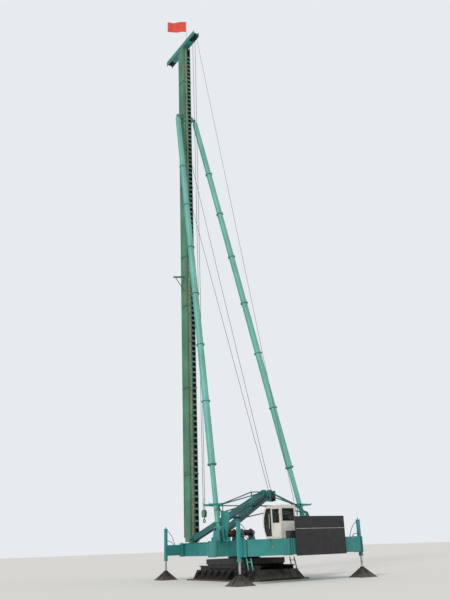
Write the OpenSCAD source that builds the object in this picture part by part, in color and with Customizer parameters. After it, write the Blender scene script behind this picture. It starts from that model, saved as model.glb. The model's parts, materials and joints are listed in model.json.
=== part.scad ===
// Walking pile driver rig: tall box mast with two telescopic stays on a legged platform
// X points forward to the mast, Y to the left, Z up from the ground. All lengths in millimetres

/* [Platform] */
// Height of the platform's top over the ground
deck_z = 1840; // [1760:10:1940]
// Depth of the box beams
beam_h = 690; // [620:10:760]
// Width of the central body
body_w = 1800; // [1700:10:1900]
// Front end of the central body
body_front = 3560; // [3540:5:3600]
// Rear face of the central body and of the rear beam
body_rear = -6200; // [-6300:10:-6180]
// Width of the rear beam, front to rear
rear_beam_w = 600; // [500:10:640]
// Width of the middle beam, front to rear
mid_beam_w = 700; // [600:10:760]
// Half length of the middle beam
mid_beam_y = 2950; // [2900:10:3050]
// Thickness of the bolting flanges
flange_t = 36; // [24:2:50]

/* [Legs] */
// Rear legs, half of the distance between them
rear_leg_y = 3570; // [3400:10:3700]
// Front legs, half of the distance between them
front_leg_y = 2100; // [2000:10:2250]
// Place of the front legs and of their arm pivots
front_leg_x = 3360; // [3330:5:3370]
// Outer diameter of a leg sleeve
sleeve_d = 190; // [170:5:220]
// Diameter of a leg rod
leg_rod_d = 100; // [80:2:120]
// Top of the sleeves
sleeve_top = 2620; // [2500:10:2700]
// Bottom of the sleeves
sleeve_bottom = 960; // [930:10:1000]
// Side of a foot plate
foot_w = 960; // [860:10:1000]
// Height of a foot
foot_h = 470; // [420:10:500]
// Pivot tube of a front arm, outer diameter
arm_tube_d = 260; // [220:5:280]

/* [Walking base] */
// Slewing centre
slew_x = -1170; // [-1250:10:-1100]
// Length of the shoe
shoe_l = 6000; // [5600:50:6200]
// Width of the shoe over its base plate
shoe_w = 3600; // [3400:50:3640]
// Height of the shoe's box
shoe_h = 480; // [420:10:520]
// Half of the distance between the rails
rail_y = 1000; // [900:10:1050]
// Height of the rails
rail_h = 200; // [180:5:220]
// Diameter of the slewing ring
ring_d = 1500; // [1300:20:1600]

/* [Mast] */
// Mast centre
mast_x = 4030; // [4000:5:4060]
// Side of the square mast
mast_w = 600; // [560:10:620]
// Wall of the mast
mast_t = 20; // [14:1:26]
// Height of the mast's foot pin
foot_z = 1560; // [1540:5:1600]
// Bottom of the mast's box
mast_z0 = 1930; // [1900:10:1980]
// Top of the mast's box
mast_z1 = 36920; // [36500:20:37000]
// Distance between ladder rungs
rung_step = 340; // [300:5:400]
// Diameter of the guide tubes at the front
rail_d = 89; // [76:1:102]

/* [Stays] */
// Height of the stay pins on the mast
stay_z1 = 30730; // [30400:10:30900]
// Stay pins on the mast, half of the distance between them
stay_y1 = 678; // [660:2:720]
// Height of the stay pins on the platform
stay_z0 = 2380; // [2340:10:2420]
// Stay pins on the platform, half of the distance between them
stay_y0 = 2700; // [2660:10:2740]
// Place of the stay pins on the platform
stay_x0 = -2950; // [-3000:10:-2900]
// Outer diameter of a stay
stay_d = 360; // [320:5:380]
// Diameter of the telescopic end of a stay
stay_rod_d = 250; // [220:5:270]

/* [Head] */
// Front end of the head beam
head_front = 6380; // [6300:10:6420]
// Rear end of the head beam
head_rear = 2320; // [2250:10:2400]
// Depth of the head beam
head_h = 380; // [340:10:420]
// Width of the head beam
head_w = 460; // [420:10:500]
// Diameter of the head sheaves
sheave_d = 520; // [460:10:560]
// Top of the flagpole
pole_top = 39340; // [39000:10:39500]

/* [Cab] */
// Length of the cab
cab_l = 1400; // [1350:10:1450]
// Width of the cab
cab_w = 900; // [860:10:920]
// Height of the cab
cab_h = 1490; // [1450:10:1560]
// Wall of the cab
cab_t = 45; // [35:1:55]
// Width of the door
door_w = 640; // [600:5:660]

/* [Hidden] */
$fn = 48;
gap = 5;                                  // running gap between pieces that move
beam_z = deck_z - beam_h;
body_y = body_w / 2;
rear_leg_x = body_rear + rear_beam_w / 2;
rear_arm_y = rear_leg_y - sleeve_d / 2 - 30;
arm_pivot_y = body_y + 190;
lug_t = 40;                               // lug plates of the front arms
ring_z = beam_z - 60;
rail_z = shoe_h + rail_h;
bogie_z0 = rail_z + gap;
bogie_z1 = ring_z - 90;
cab_x = -5270;                            // rear face of the cab
cab_y = 720;                              // left face of the cab
cab_z = deck_z + 20;
cab_r = 1150;                             // radius of the curved cab front
teal = [0.14, 0.5, 0.47];
tube_teal = [0.36, 0.64, 0.58];
mast_green = [0.22, 0.42, 0.33];
black = [0.05, 0.05, 0.05];

// A straight member between two points, its child stands on the first one and gets its length
module along(p, q) {
    d = q - p;
    translate(p) rotate([0, acos(d[2] / norm(d)), atan2(d[1], d[0])]) children();
}

// Round bar from p to q
module bar(p, q, d) {
    along(p, q) cylinder(h = norm(q - p), d = d, $fn = 24);
}

// Rectangular bar from p to q, a is its side in the upright plane
module box_bar(p, q, a, b) {
    along(p, q) translate([-a / 2, -b / 2, 0]) cube([a, b, norm(q - p)]);
}

// Block from its low corner to its high corner
module block(lo, hi) {
    translate(lo) cube(hi - lo);
}

module both_sides() {
    children();
    mirror([0, 1, 0]) children();
}

// Central body: box girder with a seat for the slewing ring below it
module body() {
    color(teal) {
        block([body_rear, -body_y, beam_z], [body_front, body_y, deck_z]);
        translate([slew_x, 0, ring_z + 30]) cylinder(h = 31, d = ring_d + 160, $fn = 96);
    }
}

// Cheeks and pin that carry the mast's foot
cheek_y = 215;
cheek_t = 45;
pin_d = 120;
module mast_bracket() {
    color(teal) {
        both_sides() {
            block([body_front, cheek_y - cheek_t, foot_z - 260], [mast_x, cheek_y, foot_z + 180]);
            translate([mast_x, cheek_y - cheek_t, foot_z]) rotate([-90, 0, 0]) cylinder(h = cheek_t, r = 180);
        }
        block([body_front, -cheek_y, foot_z - 300], [mast_x - 60, cheek_y, foot_z - 259]);
        translate([mast_x, -cheek_y - 30, foot_z]) rotate([-90, 0, 0])
            cylinder(h = 2 * cheek_y + 60, d = pin_d);
    }
}

// Lug plates and pins at the body's front corners, on which the front arms swing
module arm_lugs() {
    color(teal) both_sides() {
        for (z = [beam_z, deck_z - lug_t]) {
            block([front_leg_x - 150, body_y, z], [front_leg_x + 150, arm_pivot_y, z + lug_t]);
            translate([front_leg_x, arm_pivot_y, z]) cylinder(h = lug_t, r = 150);
        }
        translate([front_leg_x, arm_pivot_y, beam_z - 20]) cylinder(h = beam_h + 60, d = 80);
    }
}

// Beams to both sides under the stays
mid_x = stay_x0 + 180;
module mid_arms() {
    color(teal) both_sides() {
        block([mid_x - mid_beam_w / 2, body_y, beam_z], [mid_x + mid_beam_w / 2, mid_beam_y, deck_z]);
    }
}

// Brackets of the stays: a clevis with its pin and a tall gusset for the gantry ties
clevis_in = 110;
clevis_t = 40;
gusset_y = 2430;
module stay_feet() {
    color(teal) both_sides() {
        for (y = [stay_y0 - clevis_in - clevis_t, stay_y0 + clevis_in])
            translate([0, y + clevis_t, 0]) rotate([90, 0, 0]) linear_extrude(clevis_t)
                polygon([[stay_x0 - 330, deck_z], [stay_x0 + 330, deck_z], [stay_x0 + 150, stay_z0 + 110],
                    [stay_x0 - 150, stay_z0 + 130], [stay_x0 - 260, stay_z0]]);
        translate([0, gusset_y + 30, 0]) rotate([90, 0, 0]) linear_extrude(30)
            difference() {
                polygon([[stay_x0 - 330, deck_z], [stay_x0 + 60, deck_z], [stay_x0 + 120, 3240],
                    [stay_x0 - 500, 3150], [stay_x0 - 640, 2950]]);
                translate([stay_x0 - 300, 3020]) circle(r = 60);
            }
        translate([stay_x0, stay_y0 - clevis_in - clevis_t - 30, stay_z0]) rotate([-90, 0, 0])
            cylinder(h = 2 * (clevis_in + clevis_t) + 60, d = 90);
        block([stay_x0 - 300, gusset_y + 29, deck_z], [stay_x0 + 40, stay_y0 - clevis_in - clevis_t + 1, deck_z + 60]);
    }
}

// Rear beam: two arms bolted to the central body
module rear_arms() {
    color(teal) both_sides() {
        block([body_rear, body_y, beam_z], [body_rear + rear_beam_w, rear_arm_y, deck_z]);
        block([body_rear - 24, body_y, beam_z - 24], [body_rear + rear_beam_w + 24, body_y + flange_t, deck_z]);
        block([body_rear - 24, rear_arm_y - flange_t, beam_z - 24], [body_rear + rear_beam_w + 24, rear_arm_y, deck_z]);
    }
}

// One leg sleeve with its cap and collar, standing on the ground point below it
module sleeve() {
    difference() {
        union() {
            translate([0, 0, sleeve_bottom]) cylinder(h = sleeve_top - sleeve_bottom, d = sleeve_d);
            translate([0, 0, sleeve_bottom]) cylinder(h = 60, d = sleeve_d + 30);
            translate([0, 0, sleeve_top - 50]) cylinder(h = 50, d = sleeve_d + 24);
            translate([0, 0, sleeve_top]) cylinder(h = 90, d = 50);
        }
        translate([0, 0, sleeve_bottom - 1]) cylinder(h = sleeve_top - sleeve_bottom - 60, d = leg_rod_d + 2);
    }
}

module rear_sleeves() {
    color(teal) both_sides() translate([rear_leg_x, rear_leg_y, 0]) {
        sleeve();
        difference() {
            block([-170, -(rear_leg_y - rear_arm_y), beam_z], [170, 0, deck_z]);
            translate([0, 0, beam_z - 1]) cylinder(h = beam_h + 2, d = sleeve_d - 1);
        }
    }
}

// Fixed upper half of the slewing ring
module slew_ring() {
    color(black) translate([slew_x, 0, ring_z - 30]) difference() {
        cylinder(h = 60, d = ring_d, $fn = 96);
        translate([0, 0, -1]) cylinder(h = 62, d = ring_d - 360, $fn = 96);
    }
}

// Raising gantry: two legs that meet at the sheave head
gantry_foot = [2680, 715, deck_z + 170];
gantry_top = [-3420, 170, 4050];
gantry_a = 300;
module gantry() {
    color(teal) {
        both_sides() {
            box_bar(gantry_foot, gantry_top, gantry_a, 240);
            for (y = [-165, 125])
                block([gantry_foot[0] - 160, gantry_foot[1] + y, deck_z], [gantry_foot[0] + 160,
                    gantry_foot[1] + y + 40, deck_z + 260]);
            translate([gantry_foot[0], gantry_foot[1] - 185, gantry_foot[2]]) rotate([-90, 0, 0])
                cylinder(h = 370, d = 90);
        }
        for (u = [0.25, 0.5, 0.75])
            let (p = gantry_foot + (gantry_top - gantry_foot) * u)
                bar([p[0], -p[1], p[2]], p, 140);
        both_sides() block([gantry_top[0] - 420, 120, gantry_top[2] - 430],
            [gantry_top[0] + 120, 160, gantry_top[2] + 60]);
        translate([gantry_top[0] - 250, -200, gantry_top[2] - 250]) rotate([-90, 0, 0]) cylinder(h = 400, d = 70);
    }
}

// Thin pipes between the gantry and the stay brackets
tie_d = 60;
tie_foot = [stay_x0 - 560, gusset_y + 15, 3060];
module gantry_ties() {
    node_p = gantry_foot + (gantry_top - gantry_foot) * 0.76;
    difference() {
        color(teal) both_sides() {
            bar([gantry_top[0] - 150, 140, gantry_top[2] - 30], tie_foot, tie_d);
            bar(node_p, [stay_x0 - 60, tie_foot[1], 3150], tie_d);
        }
        gantry();
        stay_feet();
    }
}

module sheave(d, w) {
    rotate([90, 0, 0]) translate([0, 0, -w / 2]) rotate_extrude($fn = 72) difference() {
        translate([37, 0]) square([d / 2 - 37, w]);
        translate([d / 2, w / 2]) circle(r = w * 0.32, $fn = 24);
    }
}

module gantry_sheave() {
    color(black) for (y = [-60, 60])
        translate([gantry_top[0] - 250, y, gantry_top[2] - 250]) sheave(400, 90);
}

// Side outline of the cab, grown inwards by t
module cab_outline(t) {
    intersection() {
        translate([t, t]) square([cab_l - 2 * t + 100, cab_h - 2 * t]);
        translate([cab_l - cab_r, cab_h * 0.47]) circle(r = cab_r - t, $fn = 120);
        translate([t, t]) square([cab_l, cab_h]);
    }
}

sill_z = 120;                             // bottom of the cab's glass over the cab's floor
module cab_shell() {
    color([0.9, 0.86, 0.76]) translate([cab_x, cab_y, cab_z]) difference() {
        rotate([90, 0, 0]) linear_extrude(cab_w) cab_outline(0);
        translate([0, -cab_t, 0]) rotate([90, 0, 0]) linear_extrude(cab_w - 2 * cab_t) cab_outline(cab_t);
        block([50, -cab_t - 1, 60], [50 + door_w, 1, cab_h - 90]);
        translate([0, 1, 0]) rotate([90, 0, 0]) linear_extrude(cab_t + 2) intersection() {
            cab_outline(90);
            translate([door_w + 110, sill_z]) square([cab_l, cab_h - sill_z - 120]);
        }
        translate([0, 1 - cab_w + cab_t, 0]) rotate([90, 0, 0]) linear_extrude(cab_t + 2) intersection() {
            cab_outline(90);
            translate([120, 620]) square([cab_l, cab_h - 740]);
        }
        block([-1, -cab_w + 110, 780], [cab_t + 1, -110, cab_h - 160]);
        block([cab_l * 0.6, -cab_w + 80, sill_z], [cab_l + 1, -80, cab_h - 130]);
    }
    color([0.9, 0.86, 0.76]) translate([cab_x + 50 + door_gap, cab_y, cab_z + 60 + door_gap])
        for (z = hinge_z) {
            translate([0, hinge_out, z - 65]) cylinder(h = 60, d = 32);
            block([-50, 0, z - 65], [0, 12, z - 5]);
        }
}

glass_t = 8;
module cab_glass() {
    color([0.3, 0.36, 0.36, 0.5]) translate([cab_x, cab_y, cab_z]) {
        translate([0, -12, 0]) rotate([90, 0, 0]) linear_extrude(glass_t) intersection() {
            cab_outline(90);
            translate([door_w + 110, sill_z]) square([cab_l, cab_h - sill_z - 120]);
        }
        translate([0, -cab_w + 20, 0]) rotate([90, 0, 0]) linear_extrude(glass_t) intersection() {
            cab_outline(90);
            translate([120, 620]) square([cab_l, cab_h - 740]);
        }
        block([12, -cab_w + 110, 780], [12 + glass_t, -110, cab_h - 160]);
        translate([0, -80, 0]) rotate([90, 0, 0]) linear_extrude(cab_w - 160) intersection() {
            difference() {
                cab_outline(14);
                cab_outline(14 + glass_t);
            }
            translate([cab_l * 0.66, sill_z]) square([cab_l, cab_h - sill_z - 130]);
        }
    }
}

module cab_seat() {
    color([0.15, 0.15, 0.16]) translate([cab_x, cab_y - cab_w / 2, cab_z + cab_t]) {
        block([250, -170, 0], [550, 170, 300]);
        block([180, -230, 300], [640, 230, 400]);
        block([160, -220, 400], [260, 220, 900]);
        block([200, 260, 0], [800, 340, 560]);
        block([200, -340, 0], [800, -260, 560]);
        block([960, -250, 0], [1060, 250, 380]);
    }
}

// Door in the left wall, hinged at its rear edge
door_gap = 6;
hinge_out = 20;
door_l = door_w - 2 * door_gap - 4;          // room for its edge to swing out
hinge_z = [200, 1060];
module cab_door() {
    color([0.9, 0.86, 0.76]) translate([cab_x + 50 + door_gap, cab_y, cab_z + 60 + door_gap]) {
        difference() {
            block([0, -cab_t + 8, 0], [door_l, 0, cab_h - 150 - 2 * door_gap]);
            block([60, -cab_t, 640], [door_l - 60, 1, cab_h - 150 - 2 * door_gap - 70]);
        }
        block([door_w - 90, 0, 560], [door_w - 70, 30, 700]);
        for (z = hinge_z) {
            translate([0, hinge_out, z]) cylinder(h = 60, d = 32);
            block([0, -1, z], [80, 12, z + 60]);
        }
    }
}

module door_glass() {
    color([0.3, 0.36, 0.36, 0.5]) translate([cab_x + 50 + door_gap, cab_y, cab_z + 60 + door_gap])
        block([60, -26, 640], [door_l - 60, -26 + glass_t, cab_h - 150 - 2 * door_gap - 70]);
}

// Board on uprights behind the rear beam
board_lo = [body_rear - 74, -2300, 1100];
board_hi = [body_rear - 64, 700, 2790];
module rear_board() {
    color(black) {
        block(board_lo, board_hi);
        for (y = [board_lo[1] + 20, -1500, -700, 100, board_hi[1] - 70])
            block([board_hi[0], y, beam_z + 20], [body_rear - 24, y + 50, board_hi[2] - 10]);
        for (z = [2240, 2740])
            block([board_hi[0], board_lo[1] + 70, z], [body_rear - 24, board_hi[1] - 70, z + 40]);
    }
}

module power_cabinet() {
    color([0.1, 0.11, 0.11]) difference() {
        block([body_rear + 20, -2200, deck_z], [body_rear + 560, -300, deck_z + 800]);
        for (y = [-1570, -940])
            block([body_rear + 554, y - 4, deck_z + 60], [body_rear + 561, y + 4, deck_z + 760]);
    }
}

module tool_box() {
    color(black) {
        block([body_rear + 130, 480, deck_z], [body_rear + 450, 850, deck_z + 300]);
        block([body_rear + 120, 470, deck_z + 300], [body_rear + 460, 860, deck_z + 335]);
    }
}

// Oil tank with its motor and pump, right of the cab
module hydraulic_unit() {
    color(teal) {
        block([-5150, -880, deck_z + 60], [-4050, -330, deck_z + 560]);
        for (x = [-5100, -4200]) block([x, -860, deck_z], [x + 100, -350, deck_z + 60]);
        block([-4980, -760, deck_z + 560], [-4160, -450, deck_z + 600]);
        translate([-4960, -605, deck_z + 740]) rotate([0, 90, 0]) cylinder(h = 480, d = 280);
        translate([-4480, -605, deck_z + 740]) rotate([0, 90, 0]) cylinder(h = 260, d = 160);
    }
}

// Winches on the deck: place of the drum, length and diameter of the drum
winches = [[200, 700, 400], [-1400, 600, 340]];
drum_z = deck_z + 380;
module winch_frames() {
    color(teal) for (w = winches) both_sides() {
        translate([w[0], w[1] / 2 + 15, 0]) rotate([-90, 0, 0]) linear_extrude(30)
            polygon([[-330, -deck_z], [330, -deck_z], [130, -drum_z - 130], [-130, -drum_z - 130]]);
        translate([w[0], w[1] / 2 + 45, drum_z]) rotate([-90, 0, 0]) cylinder(h = 120, d = 240);
    }
}

module drum(w) {
    translate([w[0], w[1] / 2, drum_z]) rotate([90, 0, 0]) {
        cylinder(h = w[1], d = w[2] * 0.7);
        for (z = [0, w[1] - 24]) translate([0, 0, z]) cylinder(h = 24, d = w[2] + 80);
    }
}

module main_drum() {
    color([0.35, 0.32, 0.28]) drum(winches[0]);
}

module aux_drum() {
    color([0.35, 0.32, 0.28]) drum(winches[1]);
}

// Carriage between the shoe's rails and the slewing ring
bogie_l = 3400;
bogie_w = 2 * rail_y + 500;
module bogie() {
    color(black) {
        block([slew_x - bogie_l / 2, -bogie_w / 2, bogie_z0 + 60], [slew_x + bogie_l / 2, bogie_w / 2, bogie_z1]);
        for (x = [-1, 1], y = [-1, 1])
            translate([slew_x + x * (bogie_l / 2 - 300), y * rail_y, bogie_z0])
                block([-250, -90, 0], [250, 90, 60]);
        both_sides() {
            block([slew_x - bogie_l / 2, rail_y + 125, bogie_z0 - 95], [slew_x + bogie_l / 2, rail_y + 165, bogie_z0 + 60]);
            block([slew_x - bogie_l / 2, rail_y + 55, bogie_z0 - 95], [slew_x + bogie_l / 2, rail_y + 125, bogie_z0 - 60]);
        }
        translate([slew_x, 0, bogie_z1]) difference() {
            cylinder(h = ring_z - 30 - gap - bogie_z1, d = ring_d + 100, $fn = 96);
            translate([0, 0, -1]) cylinder(h = 200, d = ring_d - 460, $fn = 96);
        }
    }
}

// Boat-shaped shoe with gusseted sides and two rails
gusset_step = 600;
module shoe() {
    hl = shoe_l / 2;
    box_y = rail_y + 250;
    color(black) translate([slew_x, 0, 0]) {
        translate([0, box_y, 0]) rotate([90, 0, 0]) linear_extrude(2 * box_y)
            polygon([[-hl + 160, 0], [hl - 160, 0], [hl, 110], [hl - 340, shoe_h], [-hl + 340, shoe_h], [-hl, 110]]);
        block([-hl + 160, -shoe_w / 2, 0], [hl - 160, shoe_w / 2, 60]);
        both_sides() {
            for (x = [-hl + 460 : gusset_step : hl - 440])
                translate([x - 10, 0, 0]) rotate([90, 0, 90]) linear_extrude(20)
                    polygon([[box_y - 1, 59], [shoe_w / 2 - 40, 59], [box_y + 60, shoe_h], [box_y - 1, shoe_h]]);
            block([-hl + 360, rail_y - 30, shoe_h - 1], [hl - 360, rail_y + 30, rail_z - 40]);
            block([-hl + 360, rail_y - 110, rail_z - 50], [hl - 360, rail_y + 110, rail_z]);
        }
    }
}

// Front arm: pivot tube, box and leg sleeve
module front_arm() {
    z0 = beam_z + lug_t + 10;
    z1 = deck_z - lug_t - 10;
    color(teal) translate([front_leg_x, 0, 0]) difference() {
        union() {
            translate([0, arm_pivot_y, z0]) cylinder(h = z1 - z0, d = arm_tube_d);
            block([-120, arm_pivot_y + 60, z0 + 20], [120, front_leg_y - 40, z1 - 20]);
            translate([0, front_leg_y, 0]) sleeve();
        }
        translate([0, arm_pivot_y, z0 - 1]) cylinder(h = z1 - z0 + 2, d = 82);
        translate([0, front_leg_y, sleeve_bottom - 1]) cylinder(h = sleeve_top - sleeve_bottom - 60, d = leg_rod_d + 2);
    }
}

module front_arm_left() {
    front_arm();
}

module front_arm_right() {
    mirror([0, 1, 0]) front_arm();
}

// Leg rod and foot, drawn over the ground point of the leg
module leg_rod(at) {
    color([0.75, 0.75, 0.73]) translate([at[0], at[1], foot_h]) cylinder(h = 1650, d = leg_rod_d);
}

module foot(at) {
    h1 = foot_h - 70;
    profile = [[-foot_w / 2 + 30, 30], [foot_w / 2 - 30, 30], [110, h1], [-110, h1]];
    color(black) translate([at[0], at[1], 0]) {
        block([-foot_w / 2, -foot_w / 2, 0], [foot_w / 2, foot_w / 2, 31]);
        intersection() {
            translate([0, foot_w / 2, 0]) rotate([90, 0, 0]) linear_extrude(foot_w) polygon(profile);
            translate([-foot_w / 2, 0, 0]) rotate([90, 0, 90]) linear_extrude(foot_w) polygon(profile);
        }
        translate([0, 0, h1 - 1]) cylinder(h = 71, d = 170);
    }
}

leg_at = [[front_leg_x, front_leg_y], [front_leg_x, -front_leg_y], [rear_leg_x, rear_leg_y], [rear_leg_x, -rear_leg_y]];

// Mast section outline: a square box with a ladder recess in the right half of its rear face
recess_w = 240;
recess_d = 150;
recess_y = -150;
module mast_outline(t) {
    s = mast_w / 2 - t;
    difference() {
        square([2 * s, 2 * s], center = true);
        translate([-mast_w, recess_y - recess_w / 2 - t])
            square([mast_w / 2 + recess_d + t, recess_w + 2 * t]);
    }
}

module mast_section(z0, z1, joints) {
    color(mast_green) translate([mast_x, 0, 0]) {
        translate([0, 0, z0]) linear_extrude(z1 - z0) difference() {
            mast_outline(0);
            mast_outline(mast_t);
        }
        for (z = joints) translate([0, 0, z - 30]) linear_extrude(60) difference() {
            square([mast_w + 70, mast_w + 70], center = true);
            square([mast_w - 60, mast_w - 60], center = true);
            translate([-mast_w, recess_y - recess_w / 2]) square([mast_w / 2 + recess_d, recess_w]);
        }
    }
}

// Heights of the bolted joints of the mast's box sections
mast_joints = [5700, 10900, 16270, 19750, 25000, 30300, 33780];
module mast_lower() {
    mast_section(mast_z0, mast_joints[1], [mast_joints[0]]);
    color(mast_green) {
        translate([mast_x, 0, mast_z0]) block([-mast_w / 2, -mast_w / 2, -30], [mast_w / 2, mast_w / 2, 1]);
        difference() {
            union() {
                block([mast_x - 140, -150, foot_z], [mast_x + 140, 150, mast_z0 - 20]);
                translate([mast_x, -150, foot_z]) rotate([-90, 0, 0]) cylinder(h = 300, r = 140);
            }
            translate([mast_x, -151, foot_z]) rotate([-90, 0, 0]) cylinder(h = 302, d = pin_d + 2);
        }
    }
}

module mast_middle() {
    mast_section(mast_joints[1], mast_joints[3], [mast_joints[2]]);
}

module mast_upper() {
    mast_section(mast_joints[3], mast_joints[5], [mast_joints[4]]);
}

module mast_top() {
    mast_section(mast_joints[5], mast_z1, [mast_joints[6]]);
}

// Guide tubes for the working tool on the mast's front
guide_y = mast_w / 2 - 30;
guide_x = mast_x + mast_w / 2 + 90;
module guide_rails() {
    color(mast_green) both_sides() {
        translate([guide_x, guide_y, mast_z0 + 200]) cylinder(h = mast_z1 - mast_z0 - 500, d = rail_d);
        difference() {
            block([mast_x + mast_w / 2, guide_y - 12, mast_z0 + 200], [guide_x - rail_d / 2 + 4, guide_y + 12,
                mast_z1 - 300]);
            for (z = mast_joints)
                block([mast_x + mast_w / 2 - 1, guide_y - 13, z - 30], [mast_x + mast_w / 2 + 35, guide_y + 13, z + 30]);
        }
    }
}

// Arms that carry the stay pins, each with a ball for the stay's eye
ball_d = 170;
module stay_yoke() {
    x = mast_x - 60;
    color(mast_green) both_sides() {
        block([x - 110, mast_w / 2, stay_z1 - 160], [x + 110, stay_y1 - 160, stay_z1 + 160]);
        translate([x, stay_y1 - 160, stay_z1]) rotate([-90, 0, 0]) cylinder(h = 260, d = 100);
        translate([x, stay_y1, stay_z1]) sphere(d = ball_d);
    }
}

module hose_bracket() {
    y0 = mast_w / 2;
    color(mast_green) difference() {
        union() {
            box_bar([mast_x, y0 - 20, 18304], [mast_x, y0 + 800, 18150], 90, 90);
            bar([mast_x, y0 - 20, 17274], [mast_x, y0 + 640, 18130], 50);
        }
        block([mast_x - 200, y0 - 100, 17000], [mast_x + 200, y0, 18500]);
    }
}

// Head beam: two side plates with the sheaves between them
side_t = 30;
module head_beam() {
    z1 = mast_z1 + head_h;
    color(teal) {
        both_sides() block([head_rear, head_w / 2 - side_t, mast_z1], [head_front, head_w / 2, z1]);
        block([head_rear + 700, -head_w / 2, z1 - 20], [head_front - 700, head_w / 2, z1]);
        block([head_rear + 700, -head_w / 2, mast_z1], [head_front - 700, head_w / 2, mast_z1 + 20]);
        for (x = [head_rear + 350, head_front - 350])
            translate([x, -head_w / 2 - 20, mast_z1 + head_h / 2]) rotate([-90, 0, 0])
                cylinder(h = head_w + 40, d = 70);
    }
}

module head_sheave_front() {
    color(black) for (y = [-100, 100]) translate([head_front - 350, y, mast_z1 + head_h / 2]) sheave(sheave_d, 110);
}

module head_sheave_rear() {
    color(black) for (y = [-100, 100]) translate([head_rear + 350, y, mast_z1 + head_h / 2]) sheave(sheave_d, 110);
}

pole_x = 3740;
module flagpole() {
    color([0.6, 0.6, 0.6]) translate([pole_x, 0, mast_z1 + head_h]) {
        cylinder(h = pole_top - mast_z1 - head_h, d = 40, $fn = 24);
        cylinder(h = 60, d = 120, $fn = 24);
    }
}

// Flag: a thin wavy sheet that flies forward and to the left
flag_l = 1440;
flag_h = 960;
flag_turn = 56;
module flag() {
    n = 24;
    wave = [for (i = [0 : n]) [22 + flag_l * i / n, 60 * sin(420 * i / n) * i / n]];
    color([0.85, 0.2, 0.15]) translate([pole_x, 0, pole_top - 30 - flag_h]) rotate([0, 0, flag_turn])
        linear_extrude(flag_h) polygon(concat([for (p = wave) p + [0, 4]],
            [for (i = [n : -1 : 0]) wave[i] - [0, 4]]));
}

// Hook block that hangs on the hoist rope behind the mast
hook_x = head_rear + 350;
module hook_block() {
    color([0.45, 0.55, 0.5]) translate([hook_x, 0, 3030]) {
        both_sides() translate([0, 60, 0]) rotate([-90, 0, 0]) linear_extrude(24) difference() {
            polygon([[-130, -150], [130, -150], [170, -420], [90, -560], [-90, -560], [-170, -420]]);
            translate([-90, -230]) circle(r = 26);
        }
        translate([0, -70, 400]) rotate([-90, 0, 0]) cylinder(h = 140, d = 70);
        block([-60, -60, 150], [60, 60, 210]);
        translate([0, 0, -40]) rotate([90, 0, 0]) translate([0, 0, -25]) rotate_extrude(angle = 360)
            translate([70, 0]) square([45, 50]);
        translate([0, 0, 60]) cylinder(h = 100, d = 60);
    }
}

// Stay geometry: pins at the mast and at the platform
stay_top = [mast_x - 60, stay_y1, stay_z1];
stay_foot = [stay_x0, stay_y0, stay_z0];
stay_l = norm(stay_foot - stay_top);
stay_first = 0.176 * stay_l;
stay_pitch = 0.119 * stay_l;
stay_joints = 7;
stay_end = stay_first + (stay_joints - 1) * stay_pitch + 60;
module stay_tube() {
    color(tube_teal) difference() {
        union() {
            along(stay_top, stay_foot) {
                translate([0, 0, 330]) cylinder(h = stay_end - 330, d = stay_d);
                translate([0, 0, 180]) cylinder(h = 151, d1 = 150, d2 = stay_d);
                for (i = [0 : stay_joints - 1])
                    translate([0, 0, stay_first + i * stay_pitch - 30]) cylinder(h = 60, d = stay_d + 110);
                translate([-50, -40, 105]) cube([100, 80, 90]);
            }
            translate([stay_top[0], stay_top[1] - 50, stay_top[2]]) rotate([-90, 0, 0]) cylinder(h = 100, d = 260);
        }
        translate(stay_top) sphere(d = ball_d + 2);
        along(stay_top, stay_foot) translate([0, 0, 600]) cylinder(h = stay_end, d = stay_rod_d + 12);
    }
}

module stay_rod() {
    color(tube_teal) difference() {
        union() {
            along(stay_top, stay_foot) {
                translate([0, 0, stay_end - 2200]) cylinder(h = stay_l - stay_end + 1900, d = stay_rod_d);
                translate([-60, -60, stay_l - 301]) cube([120, 120, 210]);
            }
            translate([stay_foot[0], stay_foot[1] - 75, stay_foot[2]]) rotate([-90, 0, 0]) cylinder(h = 150, d = 260);
        }
        translate([stay_foot[0], stay_foot[1] - 76, stay_foot[2]]) rotate([-90, 0, 0]) cylinder(h = 152, d = 130);
    }
}

body();
mast_bracket();
arm_lugs();
mid_arms();
stay_feet();
rear_arms();
rear_sleeves();
slew_ring();
gantry();
gantry_ties();
gantry_sheave();
cab_shell();
cab_glass();
cab_seat();
cab_door();
door_glass();
rear_board();
power_cabinet();
tool_box();
hydraulic_unit();
winch_frames();
main_drum();
aux_drum();
bogie();
shoe();
front_arm_left();
front_arm_right();
leg_rod(leg_at[0]);  // leg_rod_front_left
leg_rod(leg_at[1]);  // leg_rod_front_right
leg_rod(leg_at[2]);  // leg_rod_rear_left
leg_rod(leg_at[3]);  // leg_rod_rear_right
foot(leg_at[0]);  // foot_front_left
foot(leg_at[1]);  // foot_front_right
foot(leg_at[2]);  // foot_rear_left
foot(leg_at[3]);  // foot_rear_right
mast_lower();
mast_middle();
mast_upper();
mast_top();
guide_rails();
stay_yoke();
hose_bracket();
head_beam();
head_sheave_front();
head_sheave_rear();
flagpole();
flag();
hook_block();
stay_tube();  // stay_tube_left
mirror([0, 1, 0]) stay_tube();  // stay_tube_right
stay_rod();  // stay_rod_left
mirror([0, 1, 0]) stay_rod();  // stay_rod_right
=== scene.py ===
import json
import math
import random

import bmesh
import bpy
from mathutils import Matrix, Vector


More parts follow.
